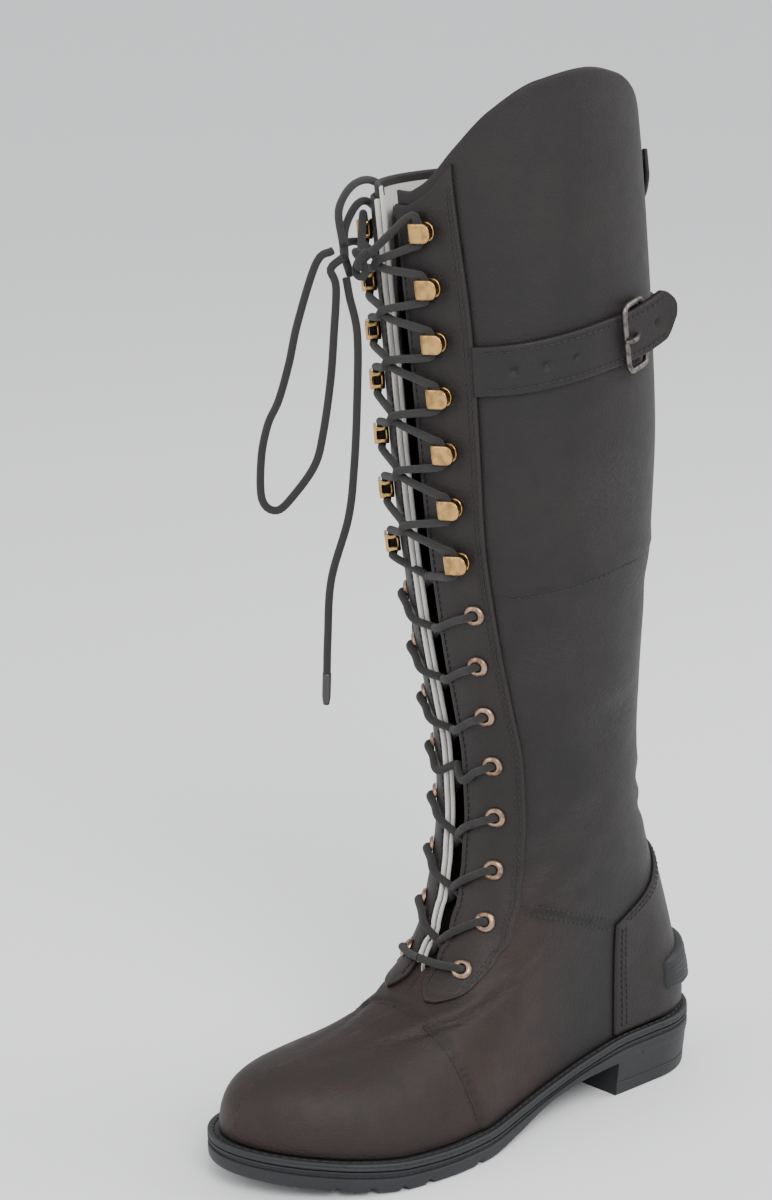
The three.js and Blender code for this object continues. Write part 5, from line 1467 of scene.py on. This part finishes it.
@dataclass
class Back:
    """Tongue, counter, spur rest, zip and its tab."""

    looks: Finishes
    stitches: Stitches

    def tongue(self) -> None:
        """Builds the tongue, sunk in the opening, with a soft pad down its middle."""
        s = np.linspace(0, 1, 120)[:, None]
        level = 0.34 + (1.955 - 0.34) * s**1.15
        across = (2 * spaced(44, (0, 0.2, 0.6, 1)) - 1)[None, :]
        opened = ease(np.clip((level - 0.34) / 0.35, 0, 1))
        turn = np.radians(-THROAT_TURN * LAST.open_share(level) - across * (24 + 28 * opened))
        sink = 7 * opened * np.cos(across * np.pi / 2) ** 2
        level = np.broadcast_to(level, turn.shape)
        edge = np.minimum((1 - np.abs(across)) * 46, (1.955 - level) * 278)
        wave = 0.5 * np.sin(level * 43) * np.cos(across * 1.5) * opened
        piece = Overlay("tongue_leather", "waxed_leather", "tongue", self.looks.tongue, -2.0, 2.0, 0.7)
        piece.build(lambda r: LAST.skin(level, turn, r - (WALL + 1.5 + sink)), edge, wave * 0.8)

    def counter(self) -> None:
        """Builds the heel counter with its stitches."""
        round_ = np.linspace(-1, 1, 130)[None, :]
        up = np.concatenate([[0.02], np.linspace(0.05, 0.975, 50), [0.985, 0.992, 1]])[:, None]
        peak = Curve(COUNTER_ROUND, COUNTER_SHARE)
        turn_at = lambda l, x: np.arccos(np.clip(
            1 - 2 * (x - LAST.front(l)) / (LAST.back(l) - LAST.front(l)), -1, 1
        ))
        fixed = float(turn_at(0.3, COUNTER_FRONT))
        top = np.array([LAST.level_at(
            COUNTER_PEAK * float(peak(abs(r))), fixed
        ) for r in round_[0]])[None, :]
        level = up * top

        def where(raised: Points) -> Points:
            """The counter's grid at a height over the leather."""
            x = mix(LAST.back(level), COUNTER_FRONT, 1 - np.cos(np.abs(round_) * np.pi / 2))
            turn = turn_at(level, x)
            return LAST.skin(level, np.where(round_ < 0, turn, 2 * np.pi - turn), raised)

        edge = np.minimum((1 - np.abs(round_)) * 70, (1 - up) * 88) + 0 * level
        piece = Overlay(
            "counter_leather", "leather", "counter", self.looks.shaft, 0.0,
            SKIN_GAP + COUNTER_THICKNESS
        )
        piece.build(where, edge, -0.2 * bump(edge, 2.8, 0.9), warm=0.3)
        shape = where(np.full(level.shape, SKIN_GAP + COUNTER_THICKNESS + 0.1))
        for inset in (3, 5):
            row = np.argmin(np.abs((1 - up[:, 0]) * 88 - inset))
            col = int(round(inset / 70 * 65))
            self.stitches.row(shape[: row + 1, col])
            self.stitches.row(shape[row, col : 130 - col])
            self.stitches.row(shape[: row + 1, 129 - col])

    def spur(self) -> None:
        """Builds the spur rest, a ribbed pad across the back."""
        c = np.linspace(-1, 1, 60)[None, :]
        v = np.linspace(-1, 1, 26)[:, None]
        turn = np.pi + c * 4 * 2 * np.pi / 36 + 0 * v
        tall = 11 * np.sqrt(1 - 0.6 * c * c)
        level = np.array([[LAST.level_at(
            50 + v[i, 0] * tall[0, j], turn[i, j]
        ) for j in range(60)] for i in range(26)])
        edge = np.minimum((1 - np.abs(v)) * tall, (1 - np.abs(c)) * 24)
        ribs = 0.35 * np.sin(v * 24) * (edge > 1.4)
        piece = Overlay(
            "spur_pad", "rubber", "spur_rest", self.looks.rubber,
            SKIN_GAP + COUNTER_THICKNESS - 0.2, 4.2, 3.0
        )
        piece.build(lambda r: LAST.skin(level, turn, r), edge, ribs - 1.9 * c * c)

    def zip(self) -> None:
        """Builds the tape and the teeth of the closed zip."""
        top, foot = LAST.level_at(COLLAR_HEIGHT - 3, math.pi), LAST.level_at(COUNTER_PEAK + 1.3, math.pi)
        level = np.linspace(foot, top, 200)[:, None]
        c = spaced(14, (0, 0.3, 1))[None, :] * 2 - 1
        turn = np.pi + np.arcsin(c * ZIP_WIDTH / LAST.width(level))
        lv = np.broadcast_to(level, turn.shape)
        edge = (1 - np.abs(c)) * ZIP_WIDTH + 0 * lv
        piece = Overlay("zip_tape", "tape", "back_zip", self.looks.tape, 0.0, 1.0, 0.5)
        piece.build(lambda r: LAST.skin(lv, turn, r), edge, -0.3 * (np.abs(c) < 0.3))
        cube = np.array([(x, y, z) for x in (-1.1, 1.1) for y in (-0.55, 0.55) for z in (-0.5, 0.5)])
        faces = [(0, 1, 3, 2), (4, 6, 7, 5), (0, 4, 5, 1), (2, 3, 7, 6), (0, 2, 6, 4), (1, 5, 7, 3)]
        parts = []
        for i, l in enumerate(np.linspace(foot + 0.004, top - 0.004, 170)):
            n = LAST.normal(np.array(l), np.array(np.pi))
            up = np.array([0, 0, 1.0]) - n * n[2]
            up /= np.linalg.norm(up)
            side = np.cross(up, n)
            o = LAST.skin(np.array(l), np.array(np.pi), np.array(1.15)) + side * (0.55 if i % 2 else -0.55)
            parts.append((o + cube @ np.stack([side, up, n]), faces))
        keep(joined("zip_teeth", parts, [self.looks.steel]), "tape")

    def tab(self) -> None:
        """Builds the tab over the slider and its press stud."""
        u = np.concatenate([np.linspace(0, 0.92, 34), [0.95, 0.975, 1]])[None, :]
        v = spaced(20, (0, 0.3, 1))[:, None] * 2 - 1
        turn = np.pi + np.radians(12 - 48 * u) + 0 * v
        shape = np.where(u > 0.7, np.sqrt(np.clip(1 - ((u - 0.7) / 0.34) ** 2, 0, 1)), 1)
        rise = v * 9.5 * shape
        level = np.vectorize(lambda r: LAST.level_at(417 + r, math.pi))(rise)
        edge = np.minimum((1 - np.abs(v)) * 9.5 * shape, np.minimum(u, 1 - u) * 45)
        piece = Overlay("tab_leather", "waxed_leather", "snap_tab", self.looks.trim, 2.05, 2.0)
        piece.build(lambda r: LAST.skin(level, turn, r), edge, -0.2 * bump(edge, 2.2, 0.7))
        at = math.pi - math.radians(36 * 0.55)
        l = LAST.level_at(417, math.pi)
        n = Vector(LAST.normal(np.array(l), np.array(at)))
        up = (Vector((0, 0, 1)) - n * n.z).normalized()
        m = Matrix((up.cross(n), up, n)).transposed().to_4x4()
        m.translation = Vector(LAST.skin(np.array(l), np.array(at), np.array(4.35))) * MM
        profile = [
            (5, -0.3), (5, 0.7), (4.6, 1.5), (3.6, 2.1), (3.1, 1.9), (2.4, 1.6), (1.2, 1.75),
            (0.05, 1.8)
        ]
        a = 2 * np.pi * np.arange(32) / 32
        ring = np.concatenate([
            np.stack([r * np.cos(a), r * np.sin(a), np.full(32, z)], -1) for r, z in profile
        ])
        keep(
            joined(
                "stud_cap", [moved((ring, quads(len(profile), 32, 0, False, True).tolist()), m)],
                [self.looks.steel]
            ),
            "dark_metal", "snap_cap"
        )

    def build(self) -> None:
        """Builds them all."""
        self.tongue()
        self.counter()
        self.spur()
        self.zip()
        self.tab()


@dataclass
class Strap:
    """Calf strap, buckle and chape on the outer side."""

    looks: Finishes
    stitches: Stitches
    turn: float = math.radians(94)

    def __post_init__(self) -> None:
        """Works out the buckle's seat."""
        level = self.level(self.turn, 0)
        at = (np.array(level), np.array(self.turn))
        self.seat, self.out = LAST.body(*at), LAST.normal(*at)
        ahead = np.array([-self.out[1], self.out[0], 0.12])
        ahead /= np.linalg.norm(ahead)
        self.ahead = np.where(ahead[0] < 0, np.array([-1, -1, 1]), 1) * ahead
        self.up = np.cross(self.out, self.ahead)
        self.up *= np.sign(self.up[2]) / np.linalg.norm(self.up)

    def level(self, turn: float, rise: float) -> float:
        """Level of the strap's middle line plus a rise."""
        share = min(max(turn / self.turn, 0), 1)
        return LAST.level_at(STRAP_HEIGHT + STRAP_RISE * float(ease(share)) * share + rise, turn)

    def off(self, along: float, up: float, out: float) -> Points:
        """A point off the buckle's seat."""
        return self.seat + self.ahead * along + self.up * up + self.out * out

    def band(self) -> None:
        """Builds the strap with its free end, holes and stitches."""
        middle = LAST.level_at(STRAP_HEIGHT, 0.5)
        begin = float(LAST.turn_across(
            middle, LAST.open_half(middle) + FACING_WIDTH * LAST.far(middle) - 1.0
        ))
        shaft, free = 70, 34
        v = spaced(16, (0, 0.25, 0.6, 1)) * 2 - 1
        u = np.arange(shaft + free + 1)

        def where(raised: Points) -> Points:
            """The band's grid at a height over the leather, with its free end in the air."""
            out = np.zeros((len(v), len(u), 3))
            for j in u:
                share = (j - shaft) / free
                point = 1 - 0.6 * max(0.0, (share - 0.8) / 0.2) ** 2
                for i, w in enumerate(v):
                    rise = w * STRAP_WIDTH / 2
                    if j <= shaft:
                        turn = begin + (self.turn - begin) * j / shaft
                        out[i, j] = LAST.skin(
                            np.array(self.level(turn, rise)), np.array(turn), np.array(raised[i, j])
                        )
                    else:
                        out[i, j] = self.off(
                            35 * share * (1 - 0.1 * abs(w) ** 3 * share),
                            rise * point + 7 * share**2, raised[i, j] + 4 * share**1.5
                        )
            return out

        length = np.where(u <= shaft, u / shaft * 62, 62 + (u - shaft) / free * 35)[None, :]
        edge = np.minimum((1 - np.abs(v))[:, None] * 11 + 0 * length, 97 - length + 0 * v[:, None])
        hole = sum(bump(np.hypot(length - at, v[:, None] * 11), 0, 2.3) for at in (16, 28, 40, 84))
        piece = Overlay(
            "strap_leather", "waxed_leather", "strap", self.looks.trim, 0.0,
            SKIN_GAP + STRAP_THICKNESS
        )
        piece.build(
            where, edge, -0.25 * bump(edge, 2.3, 0.8) - 1.6 * np.clip(hole, 0, 1),
            # painted shade in the punched holes and in the stitch grooves
            dark=np.clip(hole * 2, 0, 1) + bump(edge, 2.3, 0.8) * 0.3
        )
        top = where(np.full(edge.shape, SKIN_GAP + STRAP_THICKNESS + 0.1))
        for i in (int(len(v) * 0.2), len(v) - 1 - int(len(v) * 0.2)):
            self.stitches.row(top[i, 3:-5])

    def buckle(self) -> None:
        """Builds the frame, the prong and the chape."""
        front, rear = SKIN_GAP + STRAP_THICKNESS + GAP + 0.6 + 1.1, -0.4
        x = self.ahead * 19 + self.out * (rear - front)
        x /= np.linalg.norm(x)
        middle = (self.off(0, 0, front) + self.off(19, 0, rear)) / 2
        long, tall, corner = 9.5, 14.5, 3.2
        t = np.linspace(0, 2 * np.pi, 120, endpoint=False)
        c, s = np.cos(t), np.sin(t)
        power = 0.32
        u = long * np.sign(c) * np.abs(c) ** power
        w = tall * np.sign(s) * np.abs(s) ** power
        ring = middle + u[:, None] * x + w[:, None] * self.up
        ring = smooth_path(np.vstack([ring, ring[:1]]), 0.8)
        keep(tube("buckle_bar", ring, 1.35, self.looks.steel, 14), "dark_metal", "buckle_frame")
        over = front + 1.1 + 0.6
        path = smooth_path(
            [
                self.off(-3, 0, over + 0.4), self.off(0, 0, over + 1.3), self.off(5, 0, over),
                self.off(10, 0, 3.2), self.off(12.5, 0, 0.8)
            ],
            0.6
        )
        keep(
            tube("buckle_pin", path, 1.2, self.looks.steel, 12, lambda k: 0.6 + 0.4 * min(1, k * 4)),
            "dark_metal", "buckle_prong"
        )
        side = math.asin((ZIP_WIDTH + 1.2) / CALF_WIDTH)
        start = self.turn + 21.6 / (CALF_WIDTH / 2)
        turn = np.linspace(start, math.pi - side, 50)[None, :]
        v = spaced(14, (0, 0.25, 0.6, 1))[:, None] * 2 - 1
        rise = v * STRAP_WIDTH / 2 * 0.85
        level = np.array([[LAST.level_at(
            STRAP_HEIGHT + STRAP_RISE + 3 + r, t
        ) for t in turn[0]] for r in rise[:, 0]])
        edge = np.minimum(
            (1 - np.abs(v)) * 9.3 + 0 * turn,
            np.minimum(turn - start, math.pi - side - turn) * 54 + 0 * v
        )
        full = np.broadcast_to(turn, level.shape)
        piece = Overlay("chape_leather", "waxed_leather", "buckle_chape", self.looks.trim, 0.0, 2.5)
        piece.build(lambda r: LAST.skin(level, full, r), edge, -0.25 * bump(edge, 2.2, 0.8))

    def build(self) -> None:
        """Builds them all."""
        self.band()
        self.buckle()


@dataclass
class Sole:
    """Outsole, heel block, welt and insole."""

    looks: Finishes
    columns: int = 720

    def stacked(self, rings: Sequence[Points]) -> tuple[Points, list]:
        """A closed lot of faces through rings that mirror left to right."""
        n = len(rings[0])
        faces = quads(len(rings), n, 0, False, True).tolist()
        top = (len(rings) - 1) * n
        for i in range(n // 2):
            a, b, c, d = i, i + 1, n - i - 1, (n - i) % n
            faces.append(tuple(dict.fromkeys((a, d, c, b))))
            faces.append(tuple(dict.fromkeys((top + a, top + b, top + c, top + d))))
        return np.concatenate(rings), [f for f in faces if len(f) > 2]

    def ring(self, inset: Points, height: Callable, ribs: float = 0.0) -> Points:
        """One ring of the sole's outline."""
        xy = LAST.outline(inset, self.columns)
        if ribs:
            far = np.concatenate([[0], np.cumsum(np.linalg.norm(np.diff(xy, axis=0), axis=1))])
            mid = np.stack([xy[:, 0], LAST.middle(xy[:, 0])], -1)
            xy = xy + (mid - xy) * (ribs * (0.5 + 0.5 * np.cos(far * 2 * np.pi / 4.0)) / 45)[:, None]
        return np.concatenate([xy, height(xy[:, 0])[:, None]], 1)

    def outsole(self) -> None:
        """Builds the plate with its lugs and side groove, and the heel block."""
        top = lambda x: LAST.welt_top(x) - WELT_THICKNESS - GAP
        cuts = [LAST.back_x - a * SOLE_LENGTH for a in LUG_AT]
        notch = lambda x: sum(ease((LUG_GROOVE / 2 + 0.5 - np.abs(x - c)) / 0.9) for c in cuts) * LUG_DEPTH
        low = lambda x: LAST.under(x) + notch(x)
        rows = (
            (0, 1.7, 0), (0.04, 0.8, 0), (0.12, 0.3, 0), (0.2, 0.1, 0), (0.45, 0, 0), (0.64, 0, 0),
            (0.68, 0.3, 0), (0.71, 1.0, 0.4), (0.86, 1.0, 0.4), (0.89, 0.3, 0), (0.92, 0, 0),
            (1, 0, 0)
        )
        rings = [
            self.ring(
                i, lambda x,
                l=l: mix(low(x) if l < 0.1 else LAST.under(x) + notch(x) * (1 - l) ** 3, top(x), l),
                r
            ) for l,
            i, r in rows
        ]
        parts = [self.stacked(rings)]
        seat, breast, back = (
            SEAT_HEIGHT - WELT_THICKNESS - WAIST_THICKNESS / 2, -HEEL_LENGTH / 2, LAST.back_x
        )
        heel = []
        for z, inset in (
            (0, 2.4), (0.3, 2.0), (1.2, 1.8), (5.6, 1.55), (6.0, 2.0), (6.5, 2.0), (6.9, 1.45),
            (12, 0.95), (17, 0.6), (seat, 0.35)
        ):
            front = breast + (z / SEAT_HEIGHT) * 1.5 - (3 if z > 20 else 0)
            t = np.linspace(0, np.pi, 120)
            x = mix(front, back - inset, (1 - np.cos(t)) / 2)
            half = (LAST.half(x) - inset) * LAST.end_round(x, LAST.toe, back - inset)
            side = np.stack([x, LAST.middle(x) - half, np.full_like(x, z)], -1)
            other = np.stack([x, LAST.middle(x) + half, np.full_like(x, z)], -1)[::-1]
            heel.append(np.concatenate([side, other[1:]]))
        n = len(heel[0])
        faces = quads(len(heel), n, 0, False, True).tolist()
        faces += [tuple(range(n))[::-1], tuple(range((len(heel) - 1) * n, len(heel) * n))]
        parts.append((np.concatenate(heel), faces))
        o = joined("outsole_rubber", parts, [self.looks.rubber])
        z = np.array([v.co.z for v in o.data.vertices]) / MM
        paint(o, "dark", np.zeros_like(z))
        self.flat_caps(o)
        keep(o, "rubber", "outsole")

    @staticmethod
    def flat_caps(o: bpy.types.Object) -> None:
        """Shades faces smooth but keeps sharp corners sharp."""
        weld(o)
        o.data.set_sharp_from_angle(angle=math.radians(38))

    def welt(self) -> None:
        """Builds the welt with its ribbed edge and the stitches on it."""
        foot = lambda x: LAST.welt_top(x) - WELT_THICKNESS
        rows = (
            (0.45, 0), (0.12, 0.25), (0, 0.9), (0.25, 1.5), (0.25, 1.9), (0, 2.4), (0.15, 3.0),
            (0.6, WELT_THICKNESS), (2.2, WELT_THICKNESS), (2.6, WELT_THICKNESS - 0.35),
            (3.0, WELT_THICKNESS), (8, WELT_THICKNESS), (12, WELT_THICKNESS)
        )
        rings = [self.ring(i, lambda x, r=r: foot(x) + r, 0.3 if 0.2 < r < 3 and i else 0) for i, r in rows]
        n = self.columns
        inner = self.ring(12, foot)
        verts = np.concatenate(rings + [inner])
        faces = quads(len(rings) + 1, n, 0, False, True).tolist()
        last = len(rings) * n
        faces += [(last + i, last + (i + 1) % n, (i + 1) % n, i) for i in range(n)]
        o = new_object("welt_rubber", verts, faces, [self.looks.welt])
        self.flat_caps(o)
        keep(o, "rubber", "welt")
        row = Stitches("welt_stitches", self.looks.thread, 4.4, 0.5)
        row.row(self.ring(2.6, lambda x: LAST.welt_top(x) - 0.05))
        row.build("rubber")

    def insole(self) -> None:
        """Builds the padded insole."""
        base = WELT_MARGIN + WALL + 1
        lift = ((0, 0), (0, 1.8), (0.5, 2.7), (1.6, 3), (8, 2.7), (18, 2.5))
        rings = [self.ring(base + i, lambda x, r=r: LAST.welt_top(x) + GAP + r) for i, r in lift]
        v, f = self.stacked(rings)
        o = new_object("insole_felt", v, f, [self.looks.lining])
        weld(o)
        keep(o, "felt", "insole")

    def build(self) -> None:
        """Builds them all."""
        self.outsole()
        self.welt()
        self.insole()


@dataclass(frozen=True)
class Studio:
    """Floor, lights, world and the photo's camera."""

    at: tuple[float, float, float] = (-1.032, -1.007, 0.601)
    azimuth: float = -41.46
    elevation: float = 14.48
    roll: float = 1.0
    lens: float = 96

    def light(
        self, name: str, where: Sequence[float], target: Sequence[float], size: float, watts: float
    ) -> None:
        """Adds a soft square light."""
        data = bpy.data.lights.new(name, "AREA")
        data.shape, data.size, data.energy = "SQUARE", size, watts
        o = bpy.data.objects.new(name, data)
        o.location = where
        o.rotation_euler = (Vector(target) - Vector(where)).to_track_quat("-Z", "Y").to_euler()
        bpy.context.collection.objects.link(o)

    def build(self) -> None:
        """Builds the studio."""
        g = Graph("pale floor")
        look = g.finish(Base_Color=(0.9, 0.905, 0.91), Roughness=0.7)
        floor = new_object(
            "floor", [(-9000, -9000, 0), (9000, -9000, 0), (9000, 9000, 0), (-9000, 9000, 0)],
            [(0, 1, 2, 3)], [look], False
        )
        self.light("key", (-0.9, -1.7, 1.7), (-0.06, 0, 0.2), 1.2, 46)
        self.light("fill", (-2.1, 0.5, 1.1), (-0.1, 0, 0.2), 1.6, 17)
        self.light("back", (1.3, -0.7, 1.3), (0, 0, 0.25), 1.0, 16)
        world = bpy.data.worlds.new("studio")
        world.use_nodes = True
        shade = world.node_tree.nodes["Background"]
        shade.inputs[0].default_value, shade.inputs[1].default_value = (0.97, 0.98, 1, 1), 1.0
        bpy.context.scene.world = world
        a, e, t = map(math.radians, (self.azimuth, self.elevation, self.roll))
        b = Vector((math.sin(a) * math.cos(e), -math.cos(a) * math.cos(e), math.sin(e)))
        r = Vector((math.cos(a), math.sin(a), 0))
        u = b.cross(r)
        r, u = r * math.cos(t) - u * math.sin(t), u * math.cos(t) + r * math.sin(t)
        m = Matrix((r, u, b)).transposed().to_4x4()
        m.translation = Vector(self.at)
        data = bpy.data.cameras.new("camera")
        data.lens, data.sensor_width, data.sensor_fit = self.lens, 36, "AUTO"
        data.clip_start, data.clip_end = 0.05, 30
        o = bpy.data.objects.new("camera", data)
        o.matrix_world = m
        bpy.context.collection.objects.link(o)
        bpy.context.scene.camera = o


def seam_rows(stitches: Stitches) -> None:
    """Adds the stitches of the vamp, cross and quarter seams on both sides."""
    for side in Side:
        for line, gaps, lift in (
            (CROSS_SEAM, (-2.4,), 0.1), (QUARTER_SEAM, (-2.2, 2.2), 0.1),
            (VAMP_SEAM[1:6], (2.2,), -0.85)
        ):
            for gap in gaps:
                a = np.array(line, float)
                s = np.linspace(0, len(a) - 1, 40)
                x, z = np.interp(s, range(len(a)), a[:, 0]), np.interp(s, range(len(a)), a[:, 1])
                dx, dz = np.gradient(x), np.gradient(z)
                n = np.hypot(dx, dz)
                x, z = x - dz / n * gap, z + dx / n * gap
                pts = np.array([on_side(p, w, side, lift) for p, w in zip(x, z)])
                found = np.hypot(pts[:, 0] - x, pts[:, 2] - z) < 2
                stitches.row(pts[: len(found) if found.all() else int(np.argmin(found))])


def main() -> None:
    """Builds the scene."""
    logging.basicConfig(level=logging.INFO, format="%(message)s")
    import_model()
    looks = Finishes()
    stitches = Stitches("stitches", looks.thread)
    Sole(looks).build()
    Upper(looks).build()
    Closure(looks, stitches).build()
    Back(looks, stitches).build()
    Strap(looks, stitches).build()
    seam_rows(stitches)
    stitches.build("leather")
    Studio().build()


if __name__ == "__main__":
    main()
